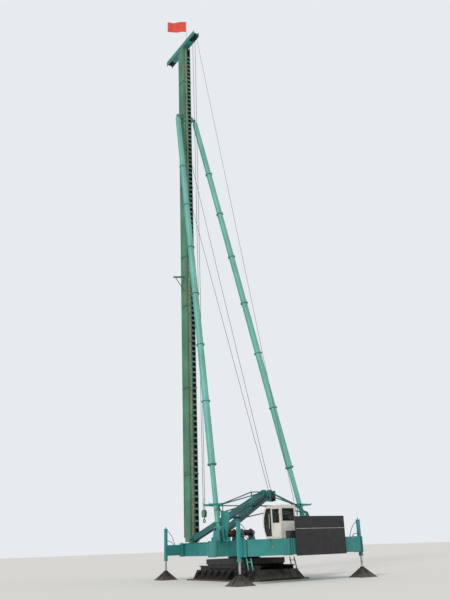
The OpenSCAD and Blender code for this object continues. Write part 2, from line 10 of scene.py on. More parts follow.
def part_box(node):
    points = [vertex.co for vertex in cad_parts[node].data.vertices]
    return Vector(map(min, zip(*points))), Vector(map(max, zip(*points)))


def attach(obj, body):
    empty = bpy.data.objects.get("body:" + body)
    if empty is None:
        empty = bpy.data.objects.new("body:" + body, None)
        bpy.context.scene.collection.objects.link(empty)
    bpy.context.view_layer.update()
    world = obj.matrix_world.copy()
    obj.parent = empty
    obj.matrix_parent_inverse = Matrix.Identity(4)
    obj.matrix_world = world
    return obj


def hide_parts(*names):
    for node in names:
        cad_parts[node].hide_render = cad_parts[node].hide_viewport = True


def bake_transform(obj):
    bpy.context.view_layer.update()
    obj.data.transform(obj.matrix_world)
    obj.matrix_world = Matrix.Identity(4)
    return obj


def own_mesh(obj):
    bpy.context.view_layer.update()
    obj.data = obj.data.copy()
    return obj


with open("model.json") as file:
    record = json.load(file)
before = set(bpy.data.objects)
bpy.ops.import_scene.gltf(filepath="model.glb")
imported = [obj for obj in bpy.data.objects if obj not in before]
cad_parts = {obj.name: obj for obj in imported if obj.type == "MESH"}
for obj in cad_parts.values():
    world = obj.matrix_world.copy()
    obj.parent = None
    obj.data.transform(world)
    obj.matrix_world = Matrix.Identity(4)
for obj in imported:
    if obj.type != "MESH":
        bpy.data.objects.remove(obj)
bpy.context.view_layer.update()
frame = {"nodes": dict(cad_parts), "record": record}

nodes = frame["nodes"]
scene = bpy.context.scene
scene.view_settings.view_transform = "Standard"
rng = random.Random(7)

view = {"eye": (-31.331, 20.995, 1.6), "look": (0.778, -0.525, 0.3443), "roll": 2.056, "lens": 40.27}


def makeCamera(v):
    back = -Vector(v["look"]).normalized()
    right = Vector((0, 0, 1)).cross(back).normalized()
    up = back.cross(right)
    turn = math.radians(v["roll"])
    tilted = right * math.cos(turn) - up * math.sin(turn)  # the camera leans clockwise
    upright = up * math.cos(turn) + right * math.sin(turn)
    cam = bpy.data.objects.new("camera", bpy.data.cameras.new("camera"))
    scene.collection.objects.link(cam)
    cam.matrix_world = Matrix.Translation(v["eye"]) @ Matrix((tilted, upright, back)).transposed().to_4x4()
    cam.data.sensor_width = 36
    cam.data.lens = v["lens"]
    cam.data.clip_end = 500
    scene.camera = cam


makeCamera(view)
print("camera ready")


class Shader:  # one material and its nodes

    def __init__(self, name):
        self.mat = bpy.data.materials.new(name)
        self.mat.use_nodes = True
        self.tree = self.mat.node_tree
        self.bsdf = self.tree.nodes["Principled BSDF"]
        self.place = self.node("ShaderNodeTexCoord").outputs["Object"]

    def node(self, kind, **values):
        made = self.tree.nodes.new(kind)
        for key, value in values.items():
            setattr(made, key, value)
        return made

    def feed(self, socket, value):
        if isinstance(value, bpy.types.NodeSocket):
            self.tree.links.new(value, socket)
        elif isinstance(value, (tuple, list)) and len(value) == 3 and socket.type == "RGBA":
            socket.default_value = (*value, 1)
        else:
            socket.default_value = value

    def math(self, kind, a, b=0.0, clamp=False):
        made = self.node("ShaderNodeMath", operation=kind, use_clamp=clamp)
        self.feed(made.inputs[0], a)
        self.feed(made.inputs[1], b)
        return made.outputs[0]

    def scaled(self, scale):
        made = self.node("ShaderNodeMapping")
        self.feed(made.inputs["Vector"], self.place)
        made.inputs["Scale"].default_value = scale
        return made.outputs[0]

    def noise(self, scale, detail=4, rough=0.55, at=None):
        made = self.node("ShaderNodeTexNoise")
        self.feed(made.inputs["Vector"], at or self.place)
        made.inputs["Scale"].default_value = scale
        made.inputs["Detail"].default_value = detail
        made.inputs["Roughness"].default_value = rough
        return made.outputs["Fac"]

    def ramp(self, value, low, high):
        made = self.node("ShaderNodeMapRange", clamp=True)
        self.feed(made.inputs["Value"], value)
        made.inputs["From Min"].default_value = low
        made.inputs["From Max"].default_value = high
        return made.outputs[0]

    def mix(self, share, a, b):
        made = self.node("ShaderNodeMix", data_type="RGBA")
        self.feed(made.inputs[0], share)
        self.feed(made.inputs[6], a)
        self.feed(made.inputs[7], b)
        return made.outputs[2]

    def blend(self, share, a, b):
        made = self.node("ShaderNodeMix", data_type="FLOAT")
        self.feed(made.inputs[0], share)
        self.feed(made.inputs[2], a)
        self.feed(made.inputs[3], b)
        return made.outputs[0]

    def upward(self):
        split = self.node("ShaderNodeSeparateXYZ")
        self.tree.links.new(self.node("ShaderNodeNewGeometry").outputs["Normal"], split.inputs[0])
        return split.outputs[2]

    def edges(self, radius):
        bevel = self.node("ShaderNodeBevel", samples=4)
        bevel.inputs["Radius"].default_value = radius
        flat = self.node("ShaderNodeNewGeometry")
        dot = self.node("ShaderNodeVectorMath", operation="DOT_PRODUCT")
        self.tree.links.new(bevel.outputs[0], dot.inputs[0])
        self.tree.links.new(flat.outputs["Normal"], dot.inputs[1])
        return self.ramp(dot.outputs["Value"], 0.999, 0.9)

    def bump(self, height, strength, distance=0.01, normal=None):
        made = self.node("ShaderNodeBump")
        made.inputs["Strength"].default_value = strength
        made.inputs["Distance"].default_value = distance
        self.feed(made.inputs["Height"], height)
        if normal:
            self.tree.links.new(normal, made.inputs["Normal"])
        return made.outputs[0]

    def finish(self, color, rough, normal=None, metal=0.0):
        self.feed(self.bsdf.inputs["Base Color"], color)
        self.feed(self.bsdf.inputs["Roughness"], rough)
        self.feed(self.bsdf.inputs["Metallic"], metal)
        if normal:
            self.tree.links.new(normal, self.bsdf.inputs["Normal"])
        return self.mat


def shade(color, factor):
    return tuple(min(1.0, c * factor) for c in color)


dustColor = (0.42, 0.33, 0.22)
rustColor = (0.16, 0.06, 0.025)


# enamel on steel: cloudy fading, rain streaks, chipped edges and settled dust
def paintCoat(name, base, fade=1.15, dust=0.3, streaks=0.35, chips=0.25, gloss=0.38, edge=0.012):
    s = Shader(name)
    clouds = s.noise(0.55, 5)
    color = s.mix(s.ramp(clouds, 0.35, 0.68), shade(base, 0.86), shade(base, fade))
    patches = s.noise(2.6, 6, 0.62)
    color = s.mix(s.math("MULTIPLY", s.ramp(patches, 0.5, 0.72), 0.35), color, shade(base, 0.68))
    rain = s.noise(1.0, 4, 0.6, s.scaled((9, 9, 0.55)))
    dirt = s.math("MULTIPLY", s.ramp(rain, 0.53, 0.72), streaks)
    color = s.mix(dirt, color, shade(dustColor, 0.62))
    wear = s.math("MULTIPLY", s.edges(edge), s.ramp(s.noise(11, 6, 0.7), 0.46, 0.6))
    specks = s.math("MULTIPLY", s.ramp(s.noise(24, 5, 0.7), 0.66, 0.72), s.ramp(s.noise(0.9, 3), 0.48, 0.66))
    bare = s.math("MULTIPLY", s.math("MAXIMUM", wear, specks), chips, clamp=True)
    color = s.mix(bare, color, s.mix(s.noise(40, 3), rustColor, shade(rustColor, 2.6)))
    settled = s.math("MULTIPLY", s.ramp(s.upward(), 0.55, 0.95), s.ramp(s.noise(1.7, 6), 0.3, 0.62))
    settled = s.math("MULTIPLY", settled, dust)
    color = s.mix(settled, color, dustColor)
    rough = s.blend(patches, gloss, gloss + 0.22)
    rough = s.math("MAXIMUM", rough, s.math("MULTIPLY", s.math("MAXIMUM", settled, bare), 0.92))
    waves = s.bump(s.noise(1.9, 2), 0.25, 0.02)
    skin = s.bump(s.noise(95, 3), 0.12, 0.002, waves)
    return s.finish(color, rough, skin)


# tarred plate with dry mud low down and a little rust
def blackSteel(name, base=(0.022, 0.023, 0.023), mud=0.6, mudTop=0.35):
    s = Shader(name)
    color = s.mix(s.ramp(s.noise(3.2, 6, 0.65), 0.4, 0.7), base, shade(base, 2.6))
    bloom = s.math("MULTIPLY", s.ramp(s.noise(5.5, 6, 0.7), 0.6, 0.75), 0.3)
    color = s.mix(bloom, color, rustColor)
    height = s.node("ShaderNodeSeparateXYZ")
    s.feed(height.inputs[0], s.place)
    low = s.ramp(s.math("ADD", height.outputs[2], s.math("MULTIPLY", s.noise(6, 5), -0.35)), mudTop, -0.12)
    lying = s.math("MULTIPLY", s.ramp(s.upward(), 0.5, 0.9), s.ramp(s.noise(2.2, 5), 0.35, 0.6))
    low = s.math("MAXIMUM", low, lying)
    soil = s.math("MULTIPLY", low, mud)
    color = s.mix(soil, color, s.mix(s.noise(15, 4), shade(dustColor, 0.55), dustColor))
    rough = s.blend(soil, 0.52, 0.95)
    lumps = s.math("MULTIPLY", s.noise(30, 5), soil)
    grain = s.math("ADD", lumps, s.math("MULTIPLY", s.noise(60, 3), 0.15))
    return s.finish(color, rough, s.bump(grain, 0.5, 0.012))


# machined or cast metal with grease and fine scratches
def bareMetal(name, base, rough=0.28, grime=0.3, metal=0.9):
    s = Shader(name)
    color = s.mix(s.ramp(s.noise(7, 6, 0.65), 0.4, 0.7), base, shade(base, 0.6))
    grease = s.math("MULTIPLY", s.ramp(s.noise(3, 5), 0.5, 0.7), grime)
    color = s.mix(grease, color, (0.03, 0.022, 0.015))
    scratch = s.noise(3, 3, 0.5, s.scaled((60, 60, 4)))
    return s.finish(color, s.blend(scratch, rough, rough + 0.25), s.bump(scratch, 0.06, 0.001), metal)


def rubberSkin(name, base=(0.02, 0.02, 0.021)):
    s = Shader(name)
    color = s.mix(s.math("MULTIPLY", s.ramp(s.noise(8, 5), 0.45, 0.75), 0.4), base, shade(dustColor, 0.4))
    return s.finish(color, 0.72, s.bump(s.noise(120, 3), 0.2, 0.001))


def wireRope(name):
    s = Shader(name)
    lay = s.node("ShaderNodeUVMap")
    wave = s.node("ShaderNodeTexWave", wave_type="BANDS", bands_direction="DIAGONAL")
    s.tree.links.new(lay.outputs[0], wave.inputs["Vector"])
    wave.inputs["Scale"].default_value = 1.0
    color = s.mix(wave.outputs["Fac"], (0.05, 0.03, 0.022), (0.085, 0.05, 0.036))
    color = s.mix(s.ramp(s.noise(2.5, 5), 0.5, 0.75), color, shade(rustColor, 1.2))
    return s.finish(color, 0.55, s.bump(wave.outputs["Fac"], 0.6, 0.003), 0.4)


def windowPane(name):
    s = Shader(name)
    film = s.ramp(s.noise(2.4, 5), 0.42, 0.8)
    color = s.mix(film, (0.12, 0.155, 0.15), (0.30, 0.30, 0.27))
    s.bsdf.inputs["Transmission Weight"].default_value = 0.92
    s.bsdf.inputs["IOR"].default_value = 1.1
    return s.finish(color, s.blend(film, 0.03, 0.16), s.bump(s.noise(3, 2), 0.02, 0.01))


def seatCloth(name, base=(0.045, 0.046, 0.05)):
    s = Shader(name)
    weave = s.node("ShaderNodeTexWave", wave_type="BANDS", bands_direction="DIAGONAL")
    s.feed(weave.inputs["Vector"], s.place)
    weave.inputs["Scale"].default_value = 160
    color = s.mix(weave.outputs["Fac"], base, shade(base, 1.7))
    s.bsdf.inputs["Sheen Weight"].default_value = 0.25
    return s.finish(color, 0.85, s.bump(weave.outputs["Fac"], 0.3, 0.001))


def flagCloth(name, base=(0.72, 0.05, 0.025)):
    s = Shader(name)
    weave = s.noise(380, 2)
    color = s.mix(s.ramp(s.noise(3.5, 4), 0.35, 0.7), shade(base, 0.82), shade(base, 1.12))
    s.bsdf.inputs["Sheen Weight"].default_value = 0.3
    return s.finish(color, 0.8, s.bump(weave, 0.15, 0.001))


tealPaint = paintCoat("tealPaint", (0.022, 0.235, 0.225), fade=1.25, dust=0.55)
tubePaint = paintCoat("tubePaint", (0.115, 0.40, 0.335), fade=1.12, dust=0.1, streaks=0.3)
mastPaint = paintCoat("mastPaint", (0.05, 0.185, 0.115), fade=1.35, dust=0.1, streaks=0.55, chips=0.6)
# gantry coat: the platform's teal at about half brightness, painted shade
gantryShadedTeal = paintCoat("gantryShadedTeal", (0.013, 0.125, 0.13), fade=1.3, dust=0.3)
cabPaint = paintCoat("cabPaint", (0.78, 0.75, 0.68), fade=1.06, dust=0.35, streaks=0.25, chips=0.5, gloss=0.3)
baseBlack = blackSteel("baseBlack", (0.012, 0.012, 0.013), 0.22, 0.12)
boardBlack = blackSteel("boardBlack", (0.008, 0.008, 0.009), 0.05)
cabinetPaint = paintCoat("cabinetPaint", (0.03, 0.034, 0.035), dust=0.6, chips=0.4)
rodChrome = bareMetal("rodChrome", (0.62, 0.61, 0.58), 0.14, 0.25, 1.0)
drumSteel = bareMetal("drumSteel", (0.24, 0.21, 0.17), 0.4, 0.6, 0.7)
sheaveIron = bareMetal("sheaveIron", (0.06, 0.055, 0.05), 0.45, 0.7, 0.6)
blockPaint = paintCoat("blockPaint", (0.16, 0.27, 0.19), chips=0.7, dust=0.3)
poleSteel = bareMetal("poleSteel", (0.42, 0.42, 0.41), 0.35)
boltSteel = bareMetal("boltSteel", (0.035, 0.038, 0.036), 0.45, 0.5, 0.5)
pipeZinc = bareMetal("pipeZinc", (0.36, 0.34, 0.27), 0.36, 0.5, 0.8)
pipeBuff = bareMetal("pipeBuff", (0.42, 0.36, 0.2), 0.5, 0.4, 0.4)
seamStrip = bareMetal("seamStrip", (0.42, 0.45, 0.42), 0.5, 0.3, 0.3)
hookBrass = bareMetal("hookBrass", (0.62, 0.42, 0.09), 0.3, 0.2, 0.8)
hoseRubber = rubberSkin("hoseRubber")
ropeWire = wireRope("ropeWire")
glassPane = windowPane("glassPane")
seatFabric = seatCloth("seatFabric")
flagRed = flagCloth("flagRed")

slotLook = {
    "platform_paint": tealPaint, "tube_paint": tubePaint, "mast_paint": mastPaint, "base_black": baseBlack,
    "rod_steel": rodChrome, "cab_paint": cabPaint, "cab_glass": glassPane, "seat_fabric": seatFabric,
    "board_black": boardBlack, "cabinet_paint": cabinetPaint, "drum_steel": drumSteel,
    "sheave_iron": sheaveIron, "block_paint": blockPaint, "pole_steel": poleSteel, "flag_cloth": flagRed,
}
for part in frame["record"]["subparts"]:
    for place in nodes[part["node"]].material_slots:
        place.material = slotLook[part["material_slot"]]
for name in ("gantry", "gantry_ties"):  # the platform's teal made darker: painted shade for the shaded gantry
    for place in nodes[name].material_slots:
        place.material = gantryShadedTeal
print("finishes ready:", len(slotLook))


def toObject(name, bm, look, body, bevel=0.0):
    mesh = bpy.data.meshes.new(name)
    bmesh.ops.recalc_face_normals(bm, faces=bm.faces)
    bm.to_mesh(mesh)
    bm.free()
    made = bpy.data.objects.new(name, mesh)
    scene.collection.objects.link(made)
    mesh.materials.append(look)
    if bevel:
        rounded = made.modifiers.new("edges", "BEVEL")
        rounded.width = bevel
        rounded.limit_method = "ANGLE"
    if body:
        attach(made, body)
    return made


def angles(count, start=0.0):
    return [start + 2 * math.pi * k / count for k in range(count)]


def span(side, near, far):  # two distances from the middle plane as a low and a high Y
    return sorted((side * near, side * far))


def middle(node):
    low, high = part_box(node)
    return (Vector(low) + Vector(high)) / 2


def sweep(bm, points, radius, sides=10):  # tube along a list of points, its UVs follow its length
    points = [Vector(p) for p in points]
    layer = bm.loops.layers.uv.verify()
    side = None
    rings = []
    runs = []
    run = 0.0
    for i, p in enumerate(points):
        ahead = (points[min(i + 1, len(points) - 1)] - points[max(i - 1, 0)]).normalized()
        side = side or ahead.orthogonal().normalized()
        side = (side - ahead * side.dot(ahead)).normalized()
        other = ahead.cross(side)
        rings.append([bm.verts.new(p + side * math.cos(a) * radius + other * math.sin(a) * radius)
                      for a in angles(sides)])
        if i:
            run += (p - points[i - 1]).length
        runs.append(run)
    for i in range(len(rings) - 1):
        for k in range(sides):
            n = (k + 1) % sides
            face = bm.faces.new((rings[i][k], rings[i][n], rings[i + 1][n], rings[i + 1][k]))
            face.smooth = True
            corners = ((k, runs[i]), (k + 1, runs[i]), (k + 1, runs[i + 1]), (k, runs[i + 1]))
            for loop, (around, along) in zip(face.loops, corners):
                loop[layer].uv = (along * 8, around / sides * 3)
    bm.faces.new(rings[0][::-1])
    bm.faces.new(rings[-1])


def prism(bm, under, over):  # solid between two like outlines
    under, over = ([bm.verts.new(p) for p in outline] for outline in (under, over))
    bm.faces.new(under)
    bm.faces.new(over)
    for i in range(len(under)):
        n = (i + 1) % len(under)
        bm.faces.new((under[i], under[n], over[n], over[i]))


def slab(bm, outline, axis, low, high):  # plate of that outline, thick along axis 0, 1 or 2
    prism(bm, *([(*p[:axis], level, *p[axis:]) for p in outline] for level in (low, high)))


def oblong(a, b):  # outline between two corners
    return [a, (b[0], a[1]), b, (a[0], b[1])]


def brick(bm, low, high):
    slab(bm, oblong(low[:2], high[:2]), 2, low[2], high[2])


def lathe(bm, place, profile, sides=16, smooth=True):  # radius and height pairs turned round place's own Z
    rings = []
    for radius, height in profile:
        rings.append([bm.verts.new(place @ Vector((radius * math.cos(a), radius * math.sin(a), height)))
                      for a in angles(sides if radius else 1)])
    for low, high in zip(rings, rings[1:]):
        for k in range(sides):
            n = (k + 1) % sides
            corners = [low[k % len(low)], low[n % len(low)], high[n % len(high)], high[k % len(high)]]
            face = bm.faces.new(list(dict.fromkeys(corners)))
            face.smooth = smooth
    for end in (rings[0], rings[-1]):
        if len(end) > 2:
            bm.faces.new(end)


def aim(at, axis):  # a place whose Z runs along axis
    return Matrix.Translation(Vector(at)) @ Vector(axis).to_track_quat("Z", "Y").to_matrix().to_4x4()


def hexBolt(bm, at, axis, size=0.02):  # washer and hex head on a face whose normal is axis
    place = aim(at, axis) @ Matrix.Rotation(rng.random(), 4, "Z")
    washer = [(0.95, -0.002 / size), (0.95, 0.18)]
    head = [(0.74, 0.18), (0.74, 0.7), (0.6, 0.82)]
    for profile, sides in ((washer, 10), (head, 6)):
        lathe(bm, place, [(r * size, h * size) for r, h in profile], sides, False)


def boltRow(bm, first, last, count, axis, size=0.02):
    first, last = Vector(first), Vector(last)
    for i in range(count):
        hexBolt(bm, first.lerp(last, i / (count - 1)), axis, size)


def straight(a, b, count=24, sag=0.0):
    a, b = Vector(a), Vector(b)
    shares = [i / (count - 1) for i in range(count)]
    return [a.lerp(b, t) - Vector((0, 0, sag * 4 * t * (1 - t))) for t in shares]


def curved(a, leave, b, arrive, count=40):  # smooth run that leaves a and reaches b along the given ways
    a, b, leave, arrive = Vector(a), Vector(b), Vector(leave), Vector(arrive)
    run = []
    for t in (i / (count - 1) for i in range(count)):
        run.append(a * (2 * t**3 - 3 * t**2 + 1) + leave * (t**3 - 2 * t**2 + t)
                   + b * (3 * t**2 - 2 * t**3) + arrive * (t**3 - t**2))
    return run


# places that many pieces share, read from the frame
bodyLow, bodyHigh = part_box("body")
deck, flank, rearFace = bodyHigh[2], bodyHigh[1], bodyLow[0]
rearLeg, frontLeg = middle("leg_rod_rear_left"), middle("leg_rod_front_left")
sides = ((1, "left"), (-1, "right"))

# hydraulic hoses of the legs, each from a port on the sleeve to a port on its beam
hose = {
    "radius": 0.014, "fitting": 0.021, "sleeve": 0.095, "standoff": 0.014,
    "rearEnd": 1.87, "frontEnd": 1.78,
    # name, place round the sleeve, height of the port, reach along the beam, slack
    "rows": (("Upper", 0.035, 2.5, 0.57, 0.5), ("Lower", -0.035, 1.98, 0.45, 0.35)),
}
rearPorts = bmesh.new()
armPorts = {"left": bmesh.new(), "right": bmesh.new()}


def legHose(name, body, fittings, start, out, end, slack):
    start, out, end = Vector(start), Vector(out), Vector(end)
    path = curved(start, out * slack, end, Vector((0, 0, -slack)), 48)
    tube = bmesh.new()
    sweep(tube, path, hose["radius"], 12)
    made = toObject(name, tube, hoseRubber, body)
    r = hose["fitting"]
    for at, way in ((start, out), (end, Vector((0, 0, 1)))):
        nut = [(r * 1.2, 0), (r * 1.2, 0.02), (r, 0.022), (r, 0.06), (r * 0.8, 0.07)]
        lathe(fittings, aim(at - way * 0.03, way), nut, 6, False)


for side, sideName in sides:
    for tag, turn, level, reach, slack in hose["rows"]:
        skin = math.sqrt(hose["sleeve"]**2 - turn**2) + hose["standoff"]
        for kind, leg, foot, body, fittings in (
                ("rear", rearLeg, hose["rearEnd"], "platform", rearPorts),
                ("front", frontLeg, hose["frontEnd"], "arm_" + sideName, armPorts[sideName])):
            legHose(kind + "Hose" + tag + sideName.capitalize(), body, fittings,
                    (leg.x + turn, side * (leg.y - skin), level), (0, -side, 0),
                    (leg.x + turn, side * (leg.y - reach), foot), slack)
toObject("rearPortFittings", rearPorts, boltSteel, "platform")
for sideName, fittings in armPorts.items():
    toObject("portFittings" + sideName.capitalize(), fittings, boltSteel, "arm_" + sideName)
print("leg hoses ready")

# bolts of the rear beam's joints and end plates of the middle beams
beam = {
    "joint": 0.84, "columns": (0.84, 0.985, 3.36), "rows": (1.2, 1.79), "front": -5.6,
    "across": (-6.12, -5.68),
    "midEnd": 2.95, "plate": 0.018, "midBolts": (-3.06, -2.48), "midRows": (1.21, 1.78), "web": 0.014,
    "plateOutline": ((-3.15, 1.13), (-2.39, 1.13), (-2.39, 1.83),
                     (-2.43, 1.865), (-3.11, 1.865), (-3.15, 1.83)),
}
beamBolts, endPlates = bmesh.new(), bmesh.new()
low, high = beam["rows"]
for side in (1, -1):
    for y in beam["columns"]:
        boltRow(beamBolts, (rearFace, side * y, low), (rearFace, side * y, high), 8, (-1, 0, 0), 0.03)
        if y != beam["joint"]:
            front, across = beam["front"], beam["across"]
            boltRow(beamBolts, (front, side * y, low), (front, side * y, high), 7, (1, 0, 0), 0.021)
            boltRow(beamBolts, (across[0], side * y, deck), (across[1], side * y, deck), 6, (0, 0, 1), 0.021)
    for x in beam["midBolts"]:
        y = side * (beam["midEnd"] + 0.016)
        boltRow(beamBolts, (x, y, beam["midRows"][0]), (x, y, beam["midRows"][1]), 6, (0, side, 0), 0.02)
    slab(endPlates, beam["plateOutline"], 1, *span(side, beam["midEnd"], beam["midEnd"] + beam["plate"]))
    for x in (-6.0, -5.8):  # webs under the proud flanges
        web = [(side * 0.936, 1.15), (side * 1.12, 1.15), (side * 0.936, 1.127)]
        slab(endPlates, web, 0, x, x + beam["web"])
    for x in (-3.12, -2.434):  # haunches between the body and the middle beams
        haunch = [(side * flank, deck), (side * 1.06, deck), (side * flank, deck + 0.012)]
        slab(endPlates, haunch, 0, x, x + beam["web"])
toObject("beamBolts", beamBolts, boltSteel, "platform")
toObject("beamEndPlates", endPlates, tealPaint, "platform", 0.003)

# edge strips along both sides of the central body, welded ribs on its right
bodyTrim = {
    "ribs": (-5.2, -4.5, -3.8, -1.7, -1.0, -0.3, 0.4, 1.1, 1.8, 2.5, 3.0), "rib": 0.016, "ribProud": 0.03,
    "runs": ((-5.55, -3.15), (-2.39, 3.18)), "strips": (1.15, 1.812), "strip": 0.028, "stripProud": 0.038,
}
bodyRibs = bmesh.new()
for side in (1, -1):
    if side < 0:
        for x in bodyTrim["ribs"]:
            slab(bodyRibs, oblong((x, 1.2), (x + bodyTrim["rib"], 1.8)), 1,
                 *span(side, flank, flank + bodyTrim["ribProud"]))
    low, high = span(side, flank, flank + bodyTrim["stripProud"])
    for x0, x1 in bodyTrim["runs"]:
        for z in bodyTrim["strips"]:
            brick(bodyRibs, (x0, low, z), (x1, high, z + bodyTrim["strip"]))
toObject("bodyRibs", bodyRibs, tealPaint, "platform", 0.003)

# rigid oil pipes on the right of the body, in two runs past the middle beams
pipe = {
    "radius": 0.015, "levels": (1.70, 1.64, 1.58), "y": -0.962, "bend": 0.06,
    "runs": ((-5.4, -3.24), (-2.3, 3.02)),
    "clips": (-5.0, -4.2, -3.5, -2.0, -1.35, -0.6, 0.1, 0.8, 1.5, 2.2, 2.8), "clipY": (-0.985, -0.93),
}
pipes, clips = bmesh.new(), bmesh.new()
y, bend = pipe["y"], pipe["bend"]
for n, z in enumerate(pipe["levels"]):
    for x0, x1 in pipe["runs"]:
        run = [(x0, -flank, z)]
        run += [(x0 + bend * (1 - math.cos(a)), y + bend * (1 - math.sin(a)), z)
                for a in (0.3, 0.8, 1.2, 1.57)]
        run += [(x1 - bend - 0.05 * n, y, z), (x1 - 0.02, y + 0.012, z), (x1, y + 0.03, z), (x1, -flank, z)]
        sweep(pipes, run, pipe["radius"], 10)
for x in pipe["clips"]:
    low, high = pipe["clipY"]
    brick(clips, (x - 0.02, low, 1.55), (x + 0.02, high, 1.73))
    for z in (1.61, 1.67):
        hexBolt(clips, (x, low, z), (0, -1, 0), 0.009)
toObject("oilPipes", pipes, pipeZinc, "platform")
toObject("pipeClips", clips, tealPaint, "platform", 0.002)

# tread plates on the deck with raised bars
tread = {
    "pitch": 0.1, "bar": (0.034, 0.009, 0.003), "thick": 0.006, "sunk": 0.002,
    "fields": ((-3.78, -1.8), (-1.78, -0.1), (0.6, 2.4)), "strips": ((-0.88, -0.56), (0.56, 0.88)),
}
treads = bmesh.new()
long, wide, tall = tread["bar"]
pitch, top = tread["pitch"], deck + tread["thick"]
for x0, x1 in tread["fields"]:
    for y0, y1 in tread["strips"]:
        brick(treads, (x0, y0, deck - tread["sunk"]), (x1, y1, top))
        for i in range(int((x1 - x0) / pitch) - 1):
            for j in range(int((y1 - y0) / pitch)):
                lean = math.radians(45 if (i + j) % 2 else -45)
                at = Matrix.Translation((x0 + (i + 1) * pitch, y0 + (j + 0.5) * pitch, top))
                place = at @ Matrix.Rotation(lean, 4, "Z")
                corners = ((-long / 2, 0), (0, -wide / 2), (long / 2, 0), (0, wide / 2))
                foot = [treads.verts.new(place @ Vector((u, v, -0.001))) for u, v in corners]
                ridge = treads.verts.new(place @ Vector((0, 0, tall)))
                for k in range(4):
                    treads.faces.new((foot[k], foot[(k + 1) % 4], ridge))
                treads.faces.new(foot[::-1])
toObject("treadPlates", treads, tealPaint, "platform")

# rim, seam, pins and brackets of the black board
board = {"rim": 0.03, "proud": 0.006, "posts": (-2.255, -1.475, -0.675, 0.125), "levels": (1.26, 1.66),
         "seam": 2.25, "rivets": 24}
(boardX, y0, z0), (boardFront, y1, z1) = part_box("rear_board")
rim = board["rim"]
boardRim, boardPins, seam = bmesh.new(), bmesh.new(), bmesh.new()
for low, high in (((y0, z0), (y1, z0 + rim)), ((y0, z1 - rim), (y1, z1)),
                  ((y0, z0 + rim), (y0 + rim, z1 - rim)), ((y1 - rim, z0 + rim), (y1, z1 - rim))):
    slab(boardRim, oblong(low, high), 0, boardX - board["proud"], boardX + 0.002)
for y in board["posts"]:
    for z in board["levels"]:  # brackets from the uprights to the rear beam
        brick(boardRim, (boardFront - 0.002, y - 0.045, z), (rearFace + 0.002, y + 0.045, z + 0.1))
    pinX = boardX - board["proud"]
    boltRow(boardPins, (pinX, y, 1.2), (pinX, y, 2.7), 9, (-1, 0, 0), 0.009)
toObject("boardRim", boardRim, boardBlack, "platform", 0.002)
toObject("boardPins", boardPins, boltSteel, "platform")
strip = oblong((y0 + rim, board["seam"] - 0.012), (y1 - rim, board["seam"] + 0.012))
slab(seam, strip, 0, boardX - 0.004, boardX + 0.001)
for k in range(board["rivets"]):
    y = y0 + 2 * rim + (y1 - y0 - 4 * rim) * k / (board["rivets"] - 1)
    place = aim((boardX - 0.004, y, board["seam"]), (-1, 0, 0))
    lathe(seam, place, [(0.006, 0), (0.005, 0.003), (0, 0.004)], 8)
toObject("boardSeam", seam, seamStrip, "platform")

# doors, vents and handles of the power cabinet, latches of the tool box
cabinet = {"doors": ((-2.17, -1.6), (-1.54, -0.97), (-0.91, -0.34)), "door": (1.9, 2.6), "skin": 0.012,
           "slats": 7, "slatStep": 0.032, "latches": (0.56, 0.77)}
(cabinetX, cabinetY0, _), (doorX, cabinetY1, cabinetTop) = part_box("power_cabinet")
outer = doorX + cabinet["skin"]
cabinetDetail = bmesh.new()
for y0, y1 in cabinet["doors"]:
    low, high = cabinet["door"]
    slab(cabinetDetail, oblong((y0, low), (y1, high)), 0, doorX - 0.001, outer)
    for k in range(cabinet["slats"]):
        z = 2.32 + cabinet["slatStep"] * k
        slat = [(outer, z), (outer + 0.016, z - 0.012), (outer + 0.016, z - 0.008), (outer, z + 0.014)]
        slab(cabinetDetail, slat, 1, y0 + 0.1, y1 - 0.1)
    handle = ((outer, 2.1), (outer + 0.032, 2.105), (outer + 0.032, 2.215), (outer, 2.22))
    sweep(cabinetDetail, [(x, y1 - 0.07, z) for x, z in handle], 0.007, 8)
    for z in (2.0, 2.5):
        hinge = Matrix.Translation((outer + 0.002, y0 + 0.012, z))
        lathe(cabinetDetail, hinge, [(0.011, -0.035), (0.011, 0.035)], 8)
lid = oblong((cabinetX - 0.02, cabinetY0 - 0.02), (doorX + 0.02, cabinetY1 + 0.02))
slab(cabinetDetail, lid, 2, cabinetTop - 0.002, cabinetTop + 0.022)
for y in (-2.0, -0.5):  # lifting eyes
    eye = ((-5.95, 2.66), (-5.95, 2.72), (-5.85, 2.72), (-5.85, 2.66))
    sweep(cabinetDetail, [(x, y, z) for x, z in eye], 0.009, 8)
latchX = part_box("tool_box")[1][0]
for y in cabinet["latches"]:
    brick(cabinetDetail, (latchX - 0.002, y - 0.02, 2.06), (latchX + 0.01, y + 0.02, 2.17))
    place = aim((latchX + 0.009, y, 2.08), (1, 0, 0))
    lathe(cabinetDetail, place, [(0.012, 0), (0.012, 0.008), (0.006, 0.01)], 10)
toObject("cabinetDetail", cabinetDetail, cabinetPaint, "platform", 0.002)

# ribs of the motor, fillers, return pipe and gauge of the oil unit
unit = {"axis": (-0.605, 2.58), "motor": (-4.95, -4.5), "ribs": 26, "rib": (0.137, 0.158, 0.003),
        "fillers": (-4.9, -4.5, -4.2), "top": 2.4}
unitRibs, unitFittings = bmesh.new(), bmesh.new()
inner, tip, half = unit["rib"]
for k in range(unit["ribs"]):
    a = math.pi * (0.58 + 1.84 * k / (unit["ribs"] - 1))
    out = Vector((0, math.cos(a), math.sin(a)))
    thick = Vector((0, -math.sin(a), math.cos(a))) * half
    axis = Vector((0, *unit["axis"]))
    outline = [axis + out * inner - thick, axis + out * inner + thick,
               axis + out * tip + thick, axis + out * tip - thick]
    prism(unitRibs, *([p + Vector((x, 0, 0)) for p in outline] for x in unit["motor"]))
cowl = [(0.142, -0.01), (0.142, 0.02), (0.12, 0.04), (0, 0.045)]
lathe(unitRibs, aim((-4.96, *unit["axis"]), (-1, 0, 0)), cowl, 28)
